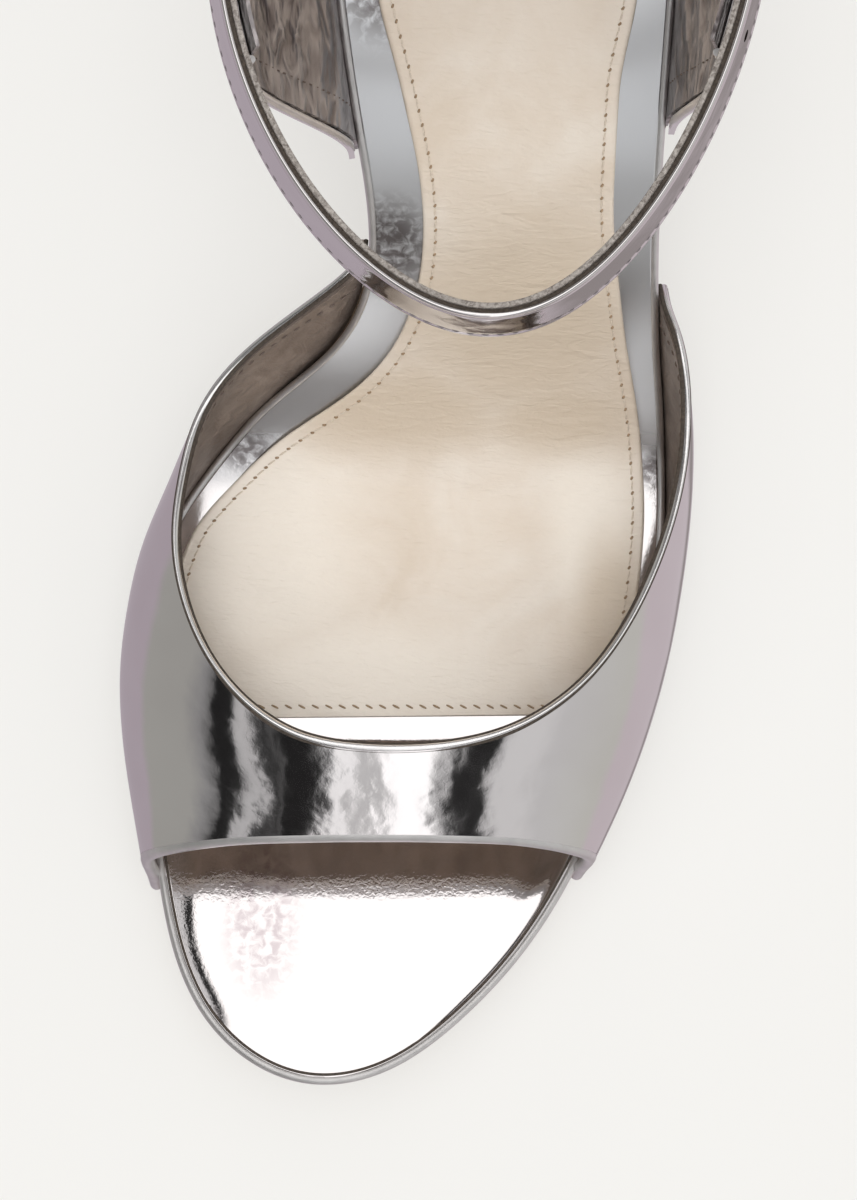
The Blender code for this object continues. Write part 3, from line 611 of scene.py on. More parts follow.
# Spots on the last, each an ellipse. They mark wear on the foil, and also painted shade, painted light and
# painted reflections in the colours.
ScuffAndPaintedLight = namedtuple("ScuffAndPaintedLight", "x y reach_x reach_y")
GRAINED = (
    ScuffAndPaintedLight(-0.032, 0.024, 0.010, 0.017),
    ScuffAndPaintedLight(-0.041, 0.028, 0.006, 0.022),
    ScuffAndPaintedLight(-0.004, 0.031, 0.034, 0.0035),
    ScuffAndPaintedLight(-0.018, 0.0065, 0.014, 0.003),
    ScuffAndPaintedLight(-0.028, 0.100, 0.009, 0.008),
    ScuffAndPaintedLight(0.036, 0.095, 0.006, 0.006),
)
# Painted shade and painted dark reflections: spots on the footbed's strips whose colour is darkened.
PAINTED_SHADE = (
    ScuffAndPaintedLight(-0.029, 0.1005, 0.0065, 0.0045),
    ScuffAndPaintedLight(0.0365, 0.0975, 0.006, 0.0045),
    ScuffAndPaintedLight(-0.0065, 0.130, 0.010, 0.009),
    ScuffAndPaintedLight(-0.006, 0.167, 0.012, 0.012),
)
# Painted reflection: a darker pinkish mottle in the footbed's colour behind the toes.
PAINTED_TOE_REFLECTION = ScuffAndPaintedLight(-0.0265, 0.026, 0.0085, 0.017)
FADED = (
    ScuffAndPaintedLight(0.036, 0.112, 0.012, 0.016),
    ScuffAndPaintedLight(-0.014, 0.122, 0.016, 0.012),
)


def mirror_leather():
    """Foil-faced leather: a rosy mirror over a fine grain, soft lumps and slow waves."""
    material, tree, surface = start_finish("mirror_leather", 0.09, 1.0)
    plain = stretched(tree, (1, 1, 1))
    tint = noise(tree, plain, 0.012, 2.0)
    tree.links.new(ramp_colours(tree, tint, ((0.3, (0.80, 0.765, 0.765)), (0.7, (0.83, 0.80, 0.80)))),
                   surface["Base Color"])
    wear = noise(tree, plain, 0.004, 3.0)
    gloss = add_node(tree, "ShaderNodeMapRange", {"Value": wear, "To Min": 0.045, "To Max": 0.095})
    tree.links.new(gloss.outputs[0], surface["Roughness"])
    layers = (
        (noise(tree, plain, 0.0075, 1.0), 1.2e-4),
        (noise(tree, plain, 0.0030, 1.0, 0.3), 2.6e-5),
        (noise(tree, plain, 0.0007, 3.0, 0.6), 3.5e-6),
    )
    tree.links.new(bumps(tree, layers), surface["Normal"])
    return material


def bed_leather():
    """The same leather pulled over the footbed: grained where toes rub, dulled and bluish up the shank. Its
    colour also holds painted shade and painted dark reflections in spots on the strips, and a painted grainy
    reflection behind the toes.
    """
    material, tree, surface = start_finish("footbed_mirror_leather", 0.1, 1.0)
    plain = stretched(tree, (1, 1, 1))
    y = add_node(tree, "ShaderNodeSeparateXYZ", {0: plain}).outputs["Y"]
    dulled = between(tree, y, SHANK_START + TO_FRAME[1], SHANK_FULL + TO_FRAME[1])
    # Painted shade: the strips darken towards a dark grey in mottled spots.
    shade = strongest(tree, [patch(tree, *scuff) for scuff in PAINTED_SHADE])
    mottle = noise(tree, plain, 0.0016, 4.0, 0.6)
    shade = work_out(tree, "MULTIPLY", shade, between(tree, mottle, 0.25, 0.60))
    # Painted grainy reflection behind the toes, mixed into the colour.
    toe_reflection = work_out(tree, "MULTIPLY", patch(tree, *PAINTED_TOE_REFLECTION), between(tree, mottle, 0.35, 0.65))
    tone_and_painted_light = blend_colours(tree, toe_reflection, (0.86, 0.82, 0.82), (0.60, 0.53, 0.55))
    colour = blend_colours(tree, dulled, tone_and_painted_light, (0.80, 0.81, 0.83))
    tree.links.new(blend_colours(tree, shade, colour, (0.22, 0.20, 0.20)), surface["Base Color"])
    roughness = work_out(tree, "ADD", 0.07, work_out(tree, "MULTIPLY", dulled, 0.25))
    tree.links.new(roughness, surface["Roughness"])
    faded = strongest(tree, [patch(tree, *scuff) for scuff in FADED])
    metallic = work_out(tree, "SUBTRACT", 1.0, work_out(tree, "MULTIPLY", faded, 0.65))
    tree.links.new(metallic, surface["Metallic"])
    rough = strongest(tree, [patch(tree, *scuff) for scuff in GRAINED])
    grain = work_out(tree, "MULTIPLY", rough, noise(tree, plain, 0.0006, 2.0, 0.4))
    layers = (
        (noise(tree, plain, 0.012, 1.0), 5.0e-5),
        (grain, 2.6e-5),
        (noise(tree, plain, 0.0007, 3.0, 0.6), 5.0e-6),
    )
    tree.links.new(bumps(tree, layers), surface["Normal"])
    return material


def rubbed_foil(name, colour, roughness):
    """The leather where it is folded or handled: the foil is duller, and its grain is pulled flat."""
    material, tree, surface = start_finish(name, roughness, 1.0)
    plain = stretched(tree, (1, 1, 1))
    tint = noise(tree, plain, 0.003, 3.0)
    shade = ((0.3, tuple(0.88 * c for c in colour)), (0.7, colour))
    tree.links.new(ramp_colours(tree, tint, shade), surface["Base Color"])
    tree.links.new(bumps(tree, ((noise(tree, plain, 0.0009, 3.0), 1.2e-5),)), surface["Normal"])
    return material


def dark_dye_and_shade():
    """Dark brown dye on cut edges and in pressed lines, and the painted seam shadow in front of the
    topline's cord. Its tone follows the fibre's bump: the fibre's own tone, with painted shade in its
    hollows.
    """
    material, tree, surface = start_finish("dyed_edge_and_painted_shade", 0.7)
    fibre = noise(tree, stretched(tree, (1, 1, 1)), 0.0004, 3.0)
    tree.links.new(ramp_colours(tree, fibre, ((0.3, (0.035, 0.026, 0.02)), (0.7, (0.085, 0.065, 0.05)))),
                   surface["Base Color"])
    tree.links.new(bumps(tree, ((fibre, 6e-5),)), surface["Normal"])
    return material


def patch(tree, x, y, reach_x, reach_y):
    """Share that fades from 1 at a place on the last to 0 at its reach, an ellipse in plan."""
    source = add_node(tree, "ShaderNodeTexCoord").outputs["Object"]
    scale = (1 / reach_x, 1 / reach_y, 0.0)
    shift = (-(x + TO_FRAME[0]) / reach_x, -(y + TO_FRAME[1]) / reach_y, 0.0)
    placed = add_node(tree, "ShaderNodeMapping", {"Vector": source, "Location": shift, "Scale": scale})
    length = add_node(tree, "ShaderNodeVectorMath", {0: placed.outputs[0]}, operation="LENGTH")
    return between(tree, length.outputs["Value"], 1.0, 0.25)


def strongest(tree, shares):
    total = shares[0]
    for share in shares[1:]:
        total = work_out(tree, "MAXIMUM", total, share)
    return total


def even(inset):
    return lambda side, turns: np.full(len(turns), inset)


def dish(grid):
    """Depth of the bed's hollow: a shallow trough where the toes press, and a soft rise to its rim."""
    width = np.linalg.norm(grid[:, -1] - grid[:, 0], axis=-1)[:, None]
    trough = ease((grid[..., 1] - DISH_START) / (DISH_DEEPEST - DISH_START))
    trough = trough * ease((DISH_END - grid[..., 1]) / (DISH_END - DISH_DEEPEST))
    medial, lateral = [np.clip(share * width / reach, 0, 1) for share, reach in
                       ((ACROSS, RISE_MEDIAL), (1 - ACROSS, RISE_LATERAL))]
    held = ease(np.minimum(ACROSS, 1 - ACROSS) * width / DISH_HELD)
    toe = ease((grid[..., 1] - RISE_START) / RISE_FADE_IN) * ease((RISE_END - grid[..., 1]) / RISE_FADE_OUT)
    inner = RISE_MEDIAL * (2 * medial - medial ** 2)
    outer = RISE_LATERAL * (2 * lateral - lateral ** 2)
    rise = RISE_SLOPE / 2 * (inner + outer)
    return DISH_DEPTH * trough * held + toe * rise


MIRROR = mirror_leather()
BEAD_MIRROR = rubbed_foil("bead_mirror_leather", (0.94, 0.92, 0.92), 0.20)
RIM_MIRROR = rubbed_foil("folded_mirror_leather", (0.86, 0.84, 0.835), 0.46)
DARK_DYE_AND_SHADE = dark_dye_and_shade()
bed_turns = rows_between(0.0, 1.0)
bed_rings = [(0.0006, BED_BASE), (0.0002, BED_BASE + 0.0002), (0.0, BED_BASE + 0.0006)]
for share in np.linspace(0, 1, 5):
    bed_rings.append((RIM_LEAN * share, BED_TOP - RIM_DROP - 0.0002 + 0.0002 * share))
for share in np.linspace(0, 1, 7)[1:]:
    rounded = sin(share * pi / 2) * RIM_ROUNDNESS + share * (1 - RIM_ROUNDNESS)
    bed_rings.append((RIM_LEAN + (RIM_SLOPE - RIM_LEAN) * share, BED_TOP - RIM_DROP * (1 - rounded)))
pressed = GROOVE_DEPTH * ease((LINE_END - along_of(bed_turns)[:, None] * SOLE_LENGTH) / LINE_FADE)
for share in np.linspace(-1, 1, 7):
    bed_rings.append((GROOVE_INSET + share * GROOVE_HALF, BED_TOP - pressed * (1 - share ** 2)))
bed_layers = [sole_grid(bed_turns, even(inset), depth) for inset, depth in bed_rings]
bed_layers[-1][..., 2] -= dish(bed_layers[-1])
footbed_body = stack(bed_layers)
add_piece("footbed_cover", *footbed_body, bed_leather(), "mirror_leather", ["footbed"])


def carried(path, across, up, profile, closed=False):
    """Body of a profile of (across, up) points carried along a path."""
    count, around = len(path), len(profile)
    verts = path[:, None] + across[:, None] * profile[None, :, :1] + up[:, None] * profile[None, :, 1:]
    verts = verts.reshape(-1, 3)
    rings = count if closed else count - 1
    i, k = np.arange(rings)[:, None], np.arange(around)[None]
    here, there = i * around, ((i + 1) % count) * around
    after = (k + 1) % around
    faces = np.stack([here + k, here + after, there + after, there + k], -1).reshape(-1, 4)
    if closed:
        return verts, faces
    half = np.arange((around - 2) // 2)
    cap = np.stack([half, half + 1, around - 2 - half, around - 1 - half], -1)
    return verts, np.concatenate([faces, cap, cap + (count - 1) * around])


def oval(width, height, count=16):
    angle = np.linspace(0, 2 * pi, count, endpoint=False)
    return np.stack([width * np.cos(angle), height * np.sin(angle)], -1)


def round_the_bed(turns, inset, depth):
    """Line round the footbed at an inset from its edge, with its directions inwards and up."""
    here, within = [outline(turns, way) for way in (inset, inset + 1e-3)]
    path, inner = [np.column_stack([plan, level(*plan.T, depth)]) for plan in (here, within)]
    across = unit(inner - path)
    up = unit(np.cross(across, np.gradient(path, axis=0)))
    return path, across, up * np.sign(up[:, 2:])


rim_turns = np.linspace(-1, 1, 900, endpoint=False)
rim_line = round_the_bed(rim_turns, RIM_INSET, BED_TOP - RIM_HEIGHT + RIM_LIFT)
rim_body = carried(*rim_line, oval(RIM_HALF, RIM_HEIGHT), True)
add_piece("footbed_rim", *rim_body, RIM_MIRROR, "mirror_leather", (), 60)
dye_turn = turn_at(LINE_END - DYE_SHORT)
dye_line = round_the_bed(np.linspace(-dye_turn, dye_turn, 400), GROOVE_INSET, BED_TOP - DYE_SINK)
add_piece("rim_dye", *carried(*dye_line, oval(DYE_RADIUS, DYE_HEIGHT, 8)), DARK_DYE_AND_SHADE, "mirror_leather")


# Sock: a soft beige leather lining over the footbed from behind the toes to the heel.
# Its edge is turned down and sewn 2 mm inside with small stitches.
# Wear has left soft creases across the ball.

SOCK_THICKNESS = 0.0009
SOCK_FRONT = 0.2600
Margin = namedtuple("Margin", "along medial lateral")
MARGINS = (
    Margin(0.26, 0.040, 0.038),
    Margin(0.40, 0.042, 0.038),
    Margin(0.45, 0.057, 0.042),
    Margin(0.50, 0.077, 0.053),
    Margin(0.55, 0.094, 0.069),
    Margin(0.62, 0.102, 0.087),
    Margin(0.68, 0.094, 0.088),
    Margin(0.75, 0.073, 0.067),
    Margin(0.85, 0.068, 0.066),
    Margin(1.00, 0.068, 0.068),
)
SOCK_SEAM = 0.0019
SEAM_PITCH = 0.00236
FRONT_PITCH = 0.9 * SEAM_PITCH
SOCK_ROUND = 0.0007
Stitch = namedtuple("Stitch", "length radius slant")
SIDE_STITCH = Stitch(0.0017, 0.00014, 0.12)
FRONT_STITCH = Stitch(0.0015, 0.00017, 0.5)
# Dark tan mark between side stitches: painted shade in a needle hole.
HOLE_SHADE_MARK = Stitch(0.0008, 0.0002, 0.6)

Crease = namedtuple("Crease", "x y reach width slant depth")
CREASES = (
    Crease(-0.36, 0.360, 0.020, 0.0035, -35, 0.00020),
    Crease(-0.20, 0.330, 0.022, 0.0040, -28, 0.00022),
    Crease(0.02, 0.350, 0.024, 0.0050, 8, 0.00025),
    Crease(0.18, 0.330, 0.018, 0.0040, 25, 0.00022),
    Crease(0.20, 0.420, 0.020, 0.0045, -10, 0.00025),
    Crease(-0.05, 0.440, 0.022, 0.0040, -20, 0.00020),
    Crease(-0.15, 0.480, 0.018, 0.0032, -32, 0.00020),
    Crease(0.12, 0.520, 0.022, 0.0026, 4, 0.00018),
    Crease(0.10, 0.550, 0.024, 0.0024, -4, 0.00018),
    Crease(0.13, 0.580, 0.022, 0.0024, 3, 0.00016),
    Crease(0.08, 0.290, 0.020, 0.0030, 3, 0.00016),
)
# Painted shade: spots of the sock darkened to tan, for the strap's shadow and darker reflections.
SOCK_PAINTED_SHADE = (
    ScuffAndPaintedLight(0.015, 0.119, 0.024, 0.022),
    ScuffAndPaintedLight(0.021, 0.105, 0.018, 0.009),
    ScuffAndPaintedLight(0.029, 0.073, 0.008, 0.020),
    ScuffAndPaintedLight(-0.004, 0.106, 0.024, 0.010),
)
# Painted light: spots of the sock lightened towards the front and on both sides, against the shade of the
# vamp's walls.
SOCK_PAINTED_LIGHT = (
    ScuffAndPaintedLight(-0.027, 0.084, 0.024, 0.030),
    ScuffAndPaintedLight(-0.012, 0.064, 0.034, 0.014),
    ScuffAndPaintedLight(0.026, 0.088, 0.010, 0.020),
)


def sock_margin(inset):
    shares = {-1: smooth(MARGINS, "medial"), 1: smooth(MARGINS, "lateral")}
    return lambda side, turns: inset + BALL_WIDTH * shares[side](along_of(turns))


def creased(grid):
    """Height of the listed creases: each is a soft trough along its slant with a ridge beside it."""
    height = np.zeros(grid.shape[:2])
    for crease in CREASES:
        x = grid[..., 0] - crease.x * BALL_WIDTH
        y = grid[..., 1] - crease.y * SOLE_LENGTH
        slant = radians(crease.slant)
        along = (x * cos(slant) + y * sin(slant)) / crease.reach
        across = (y * cos(slant) - x * sin(slant)) / crease.width
        height += crease.depth * np.exp(-along ** 2) * (across - 0.6) * np.exp(-across ** 2)
    return height


def beige_leather():
    """Soft beige lining leather with fine crossing wrinkles and a waxy sheen, and painted light and painted
    shade in broad spots of its colour.
    """
    material, tree, surface = start_finish("beige_leather", 0.42)
    plain = stretched(tree, (1, 1, 1))
    tint = noise(tree, plain, 0.014, 4.0, 0.8)
    tone_and_painted_light = ramp_colours(tree, tint, ((0.30, (0.71, 0.60, 0.485)), (0.50, (0.75, 0.65, 0.545)),
                                      (0.70, (0.79, 0.705, 0.61))))
    painted_sock_shade = strongest(tree, [patch(tree, *scuff) for scuff in SOCK_PAINTED_SHADE])
    # Painted light: the sock lightens in its spots.
    painted_sock_light = strongest(tree, [patch(tree, *scuff) for scuff in SOCK_PAINTED_LIGHT])
    tone_and_painted_light = blend_colours(tree, painted_sock_light, tone_and_painted_light, (0.87, 0.79, 0.69))
    # Painted shade: the sock darkens to tan in its spots.
    tree.links.new(blend_colours(tree, painted_sock_shade, tone_and_painted_light, (0.66, 0.55, 0.43)), surface["Base Color"])
    cells = add_node(tree, "ShaderNodeTexVoronoi", {"Vector": stretched(tree, (1, 1.5, 1)), "Scale": 1100.0},
                     feature="DISTANCE_TO_EDGE").outputs["Distance"]
    layers = (
        (noise(tree, stretched(tree, (0.5, 1.4, 1)), 0.004, 4.0, 1.2), 2.6e-4),
        (noise(tree, stretched(tree, (0.6, 1.6, 1)), 0.0012, 3.0, 0.8), 1.6e-4),
        (cells, 2.5e-5),
    )
    tree.links.new(bumps(tree, layers), surface["Normal"])
    surface["Coat Weight"].default_value = 0.4
    surface["Coat Roughness"].default_value = 0.22
    return material


def thread_finish(name, colour):
    """Twisted sewing thread."""
    material, tree, surface = start_finish(name, 0.6)
    twist = noise(tree, stretched(tree, (1, 1, 1)), 0.0002, 1.0)
    shade = [(0.3, tuple(0.75 * c for c in colour)), (0.7, colour)]
    tree.links.new(ramp_colours(tree, twist, shade), surface["Base Color"])
    return material


def evenly(path, pitch):
    """Centres at equal steps along a path of points, with the path's direction at each."""
    run = np.concatenate([[0], np.cumsum(np.linalg.norm(np.diff(path, axis=0), axis=1))])
    count = max(int(run[-1] / pitch), 2)
    at = (np.arange(count) + 0.5) * run[-1] / count
    step = run[-1] * 1e-3

    def point(place):
        return np.stack([np.interp(place, run, path[:, k]) for k in range(3)], -1)

    way = point(at + step) - point(at - step)
    return point(at), way / np.linalg.norm(way, axis=-1, keepdims=True)


def stitch_row(centres, way, up, kind):
    """Stitches of one kind: each a short thread that arches out of the leather and dives in at both ends.

    A thread is a stack of rings along its length. Its height over the leather falls with the square of
    the distance from its middle, and so does the square of its girth.
    """
    rings, sides = 7, 6
    side = unit(np.cross(way, up))
    way = unit(way + kind.slant * side)
    side = unit(np.cross(way, up))
    place = np.linspace(-1, 1, rings)
    angle = np.linspace(0, 2 * pi, sides, endpoint=False)
    lift = kind.radius * (0.9 - 1.9 * place ** 2)
    line = (centres[:, None] + way[:, None] * (kind.length / 2 * place)[None, :, None]
            + up[:, None] * lift[None, :, None])
    ring = side[:, None, None] * np.cos(angle)[None, None, :, None] + \
        up[:, None, None] * np.sin(angle)[None, None, :, None]
    girth = kind.radius * np.sqrt(1 - 0.8 * place ** 2)
    verts = line[:, :, None] + ring * girth[None, :, None, None]
    start, turn = np.arange(rings - 1)[:, None] * sides, np.arange(sides)[None]
    a = (start + turn).ravel()
    b = (start + (turn + 1) % sides).ravel()
    last = (rings - 1) * sides
    first_end = [[3, 2, 1, 0], [5, 4, 3, 0]]
    last_end = [[last, last + 1, last + 2, last + 3], [last, last + 3, last + 4, last + 5]]
    one = np.concatenate([np.stack([a, b, b + sides, a + sides], -1), first_end, last_end])
    faces = one[None] + rings * sides * np.arange(len(centres))[:, None, None]
    return verts.reshape(-1, 3), faces.reshape(-1, 4)


def joined(bodies):
    """Several bodies of points and faces as one."""
    starts = np.cumsum([0] + [len(verts) for verts, faces in bodies[:-1]])
    verts = np.concatenate([verts for verts, faces in bodies])
    return verts, np.concatenate([faces + start for (_, faces), start in zip(bodies, starts)])


BEIGE = beige_leather()
sock_base = BED_TOP + CLEARANCE
sock_turns = rows_between(turn_at(SOCK_FRONT * SOLE_LENGTH), 1.0)
sock_rings = [(0.0002, sock_base)]
for share in np.linspace(0, 1, 6):
    angle = share * pi / 2
    sock_rings.append((SOCK_ROUND * (1 - cos(angle)), sock_base + SOCK_THICKNESS * (0.3 + 0.7 * sin(angle))))
sock_layers = [sole_grid(sock_turns, sock_margin(inset), depth) for inset, depth in sock_rings]
sock_layers[-1][..., 2] += creased(sock_layers[-1])
add_piece("sock_lining", *stack(sock_layers), BEIGE, "sock_leather", ["sock"])

BEIGE_THREAD = thread_finish("beige_thread", (0.78, 0.67, 0.55))
TAN_THREAD_AND_HOLE_SHADE = thread_finish("tan_thread_and_hole_shade", (0.40, 0.28, 0.17))
seam_rows = np.linspace(turn_at(SOCK_FRONT * SOLE_LENGTH + SOCK_SEAM), 1 - 1e-4, 400)
seam_lines = []
for side in (-1, 1):
    flat = outline(side * seam_rows, sock_margin(SOCK_SEAM)(side, seam_rows))
    seam_lines.append(np.column_stack([flat, level(*flat.T, sock_base + SOCK_THICKNESS)]))
ends = seam_lines[0][0], seam_lines[1][0]
front_x = np.linspace(ends[0][0], ends[1][0], 80)
front_y = np.full(80, ends[0][1])
front_line = np.column_stack([front_x, front_y, level(front_x, front_y, sock_base + SOCK_THICKNESS)])


def seam_up(centres):
    """Direction square to the sole's top at each centre."""
    step = 1e-4
    slope = (underside(centres[:, 1] + step) - underside(centres[:, 1] - step)) / (2 * step)
    return unit(np.column_stack([0 * slope, -slope, 1 + 0 * slope]))


side_stitches, tan_stitches_and_hole_shade = [], []
for line in seam_lines:
    centres, way = evenly(line, SEAM_PITCH)
    centres[:, 2] += creased(centres[None])[0]
    side_stitches.append(stitch_row(centres, way, seam_up(centres), SIDE_STITCH))
    # Dark tan marks between the side stitches: painted shade in the needle holes. The front row is tan
    # thread.
    tan_stitches_and_hole_shade.append(stitch_row(centres + way * SEAM_PITCH / 2, way, seam_up(centres), HOLE_SHADE_MARK))
front_centres, front_way = evenly(front_line, FRONT_PITCH)
front_centres[:, 2] += creased(front_centres[None])[0]
tan_stitches_and_hole_shade.append(stitch_row(front_centres, front_way, seam_up(front_centres), FRONT_STITCH))
add_piece("sock_stitches", *joined(side_stitches), BEIGE_THREAD, "sock_leather")
add_piece("sock_tan_stitches_and_hole_shade", *joined(tan_stitches_and_hole_shade), TAN_THREAD_AND_HOLE_SHADE, "sock_leather")


# Heel: a tall block of moulded plastic, covered in one piece of the mirror leather.
# Its breast meets the sole's waist, and its sides sweep in to a rounded square tip.

HEEL_TIP_BREAST = 0.187
HEEL_TIP_LENGTH = 0.028
HEEL_TIP_WIDTH = 0.031
TIP_FULLNESS = 2.7
TOP_PIECE_HEIGHT = 0.005
SWEEP = 1.7


def tip_grid(turns, height, inset=0.0):
    """Plan of the heel's tip: a flat breast and a full round back, a superellipse."""
    share = (turns - turns[0]) / (turns[-1] - turns[0])
    angle = share * pi / 2
    half = (HEEL_TIP_WIDTH / 2 - inset) * np.cos(angle) ** (2 / TIP_FULLNESS)
    half[-1] = 0.0
    reach = HEEL_TIP_LENGTH - 2 * inset
    y = HEEL_TIP_BREAST + inset + reach * np.sin(angle) ** (2 / TIP_FULLNESS)
    x = HEEL_TIP_CENTRE + half[:, None] * (2 * ACROSS - 1)[None]
    return np.dstack([x, np.broadcast_to(y[:, None], x.shape), np.full(x.shape, height)])


heel_turns = rows_between(turn_at(HEEL_BREAST), 1.0)
heel_top = sole_grid(heel_turns, even(-LEATHER - CLEARANCE), OUTSOLE_THICKNESS)
heel_tip = tip_grid(heel_turns, TOP_PIECE_HEIGHT + CLEARANCE)
heel_layers = []
for share in np.linspace(1, 0, 61):
    narrowing = 1 - (1 - share) ** SWEEP
    layer = heel_top * (1 - share) + heel_tip * share
    layer[..., :2] = (heel_top * (1 - narrowing) + heel_tip * narrowing)[..., :2]
    heel_layers.append(layer)
add_piece("heel_cover", *stack(heel_layers), MIRROR, "mirror_leather", ["heel_block"])


# Top piece: a 5 mm slab of dark rubber under the heel's tip, where the heel wears.
# Its edges are slightly eased. Each ring is a height and an inset.

TOP_PIECE_RINGS = (
    (0.0, 0.0005),
    (0.0003, 0.0001),
    (0.0007, 0.0),
    (TOP_PIECE_HEIGHT - 0.0002, 0.0),
    (TOP_PIECE_HEIGHT, 0.0002),
)


def rubber_finish():
    material, tree, surface = start_finish("top_piece_rubber", 0.6)
    plain = stretched(tree, (1, 1, 1))
    shades = ((0.3, (0.05, 0.046, 0.044)), (0.7, (0.08, 0.075, 0.07)))
    tree.links.new(ramp_colours(tree, noise(tree, plain, 0.003, 3.0), shades), surface["Base Color"])
    tree.links.new(bumps(tree, ((noise(tree, plain, 0.0004, 2.0), 2e-5),)), surface["Normal"])
    return material


top_piece_layers = [tip_grid(heel_turns, height, inset) for height, inset in TOP_PIECE_RINGS]
add_piece("top_piece_slab", *stack(top_piece_layers), rubber_finish(), "top_piece_rubber", ["top_piece"])


# Vamp: one wide band of mirror leather over the toes and ball, drawn down over the footbed's edge.
# It is lasted, so its form is the last's own cross sections: an upright foot, a belly and a crown.
# The front edge is cut high over the toes, and the topline runs back low along both sides.

CROWN_HEIGHT = 0.029
FLARE = 0.011
BELLY_HEIGHT = 0.013
BELLY_SHARE = 0.4
FULLNESS = 2.25
LINING = 0.00055
SKIN_START = 0.0006
CLIMB_CROWDING = 0.9
VAMP_EASING = 30
Form = namedtuple("Form", "along medial_flare lateral_flare crown ridge")
FORMS = (
    Form(0.13, 0.02, 0.02, 0.42, -0.11),
    Form(0.18, 0.05, 0.06, 0.69, -0.10),
    Form(0.24, 0.09, 0.10, 0.99, -0.08),
    Form(0.29, 0.10, 0.12, 1.15, -0.06),
    Form(0.35, 0.07, 0.14, 1.35, -0.05),
    Form(0.41, 0.08, 0.19, 1.46, -0.01),
    Form(0.46, 0.40, 0.23, 1.58, 0.03),
    Form(0.49, 0.69, 0.20, 1.70, 0.05),
    Form(0.515, 0.95, 0.15, 1.80, 0.08),
    Form(0.545, 0.80, 0.07, 1.90, 0.12),
    Form(0.575, 0.15, 0.02, 2.00, 0.16),
)
Reach = namedtuple("Reach", "along front_medial front_lateral top_medial top_lateral")
REACHES = (
    Reach(0.00, 0.1455, 0.1530, 0.593, 0.565),
    Reach(0.05, 0.1500, 0.1555, 0.584, 0.559),
    Reach(0.10, 0.1540, 0.1580, 0.574, 0.550),
    Reach(0.15, 0.1580, 0.1605, 0.560, 0.541),
    Reach(0.20, 0.1620, 0.1630, 0.541, 0.532),
    Reach(0.25, 0.1650, 0.1655, 0.517, 0.519),
    Reach(0.30, 0.1680, 0.1680, 0.485, 0.500),
    Reach(0.35, 0.1705, 0.1700, 0.455, 0.455),
    Reach(0.40, 0.1725, 0.1720, 0.425, 0.402),
    Reach(0.45, 0.1743, 0.1740, 0.392, 0.354),
    Reach(0.50, 0.1757, 0.1755, 0.356, 0.317),
    Reach(0.55, 0.1770, 0.1770, 0.319, 0.291),
    Reach(0.60, 0.1780, 0.1780, 0.292, 0.2735),
    Reach(0.70, 0.1790, 0.1790, 0.2615, 0.2525),
    Reach(0.80, 0.1795, 0.1795, 0.246, 0.243),
    Reach(0.90, 0.1800, 0.1800, 0.240, 0.239),
    Reach(1.00, 0.1800, 0.1800, 0.238, 0.238),
)


def last_surface(side, y, climb):
    """Points of the last at a share of the way from the foot to the crown.

    Each section is an upright edge, a parabola out to the belly and a quarter superellipse to the
    crown. Its points are summed into a length, and climb is a share of that length.
    """
    along = y / SOLE_LENGTH
    flare = (FLARE * smooth(FORMS, "medial_flare" if side < 0 else "lateral_flare")(along))[..., None]
    crown = (CROWN_HEIGHT * smooth(FORMS, "crown")(along))[..., None]
    ridge = (BALL_WIDTH * smooth(FORMS, "ridge")(along))[..., None]
    foot = (edge_x(side, y) + side * CLEARANCE)[..., None]
    low = level(foot[..., 0], y, BED_BASE)[..., None]
    rim = level(foot[..., 0], y, BED_TOP)[..., None]
    belly = np.minimum(BELLY_HEIGHT, BELLY_SHARE * crown)
    share = np.linspace(0, 1, 16, endpoint=False)
    angle = np.linspace(0, pi / 2, 110)
    widest = foot + side * flare
    x = np.concatenate([
        foot + 0 * share[:6],
        foot + side * flare * (1 - (1 - share) ** 2),
        ridge + (widest - ridge) * np.cos(angle) ** (2 / FULLNESS),
    ], -1)
    z = np.concatenate([
        low + (rim - low) * np.linspace(0, 1, 6, endpoint=False),
        rim + belly * share,
        rim + belly + (crown - belly) * np.sin(angle) ** (2 / FULLNESS),
    ], -1)
    legs = np.hypot(np.diff(x, axis=-1, prepend=x[..., :1]), np.diff(z, axis=-1, prepend=z[..., :1]))
    run = np.cumsum(legs, -1)
    goal = (climb * run[..., -1])[..., None]
    right = np.clip((run < goal).sum(-1), 1, x.shape[-1] - 1)[..., None]
    ends = [[np.take_along_axis(v, i, -1) for v in (x, z, run)] for i in (right - 1, right)]
    (x0, z0, r0), (x1, z1, r1) = ends
    share = (goal - r0) / np.maximum(r1 - r0, 1e-9)
    return np.concatenate([x0 + share * (x1 - x0), y[..., None], z0 + share * (z1 - z0)], -1)


def relaxed(grid, passes):
    """Grid eased by the running mean 1-2-1 along both ways. Its corners stay, its borders ease in line."""
    grid = grid.copy()
    for _ in range(passes):
        grid[1:-1] = (grid[:-2] + 2 * grid[1:-1] + grid[2:]) / 4
        grid[:, 1:-1] = (grid[:, :-2] + 2 * grid[:, 1:-1] + grid[:, 2:]) / 4
    return grid


def outward(grid):
    """Unit normals of a grid whose rows go up and whose columns run anticlockwise."""
    return unit(np.cross(np.gradient(grid, axis=1), np.gradient(grid, axis=0)))


def wall(grid, inner, outer):
    """Closed wall between two distances from a grid, along its normals."""
    normal = outward(grid)
    return stack([grid + inner * normal, grid + outer * normal])


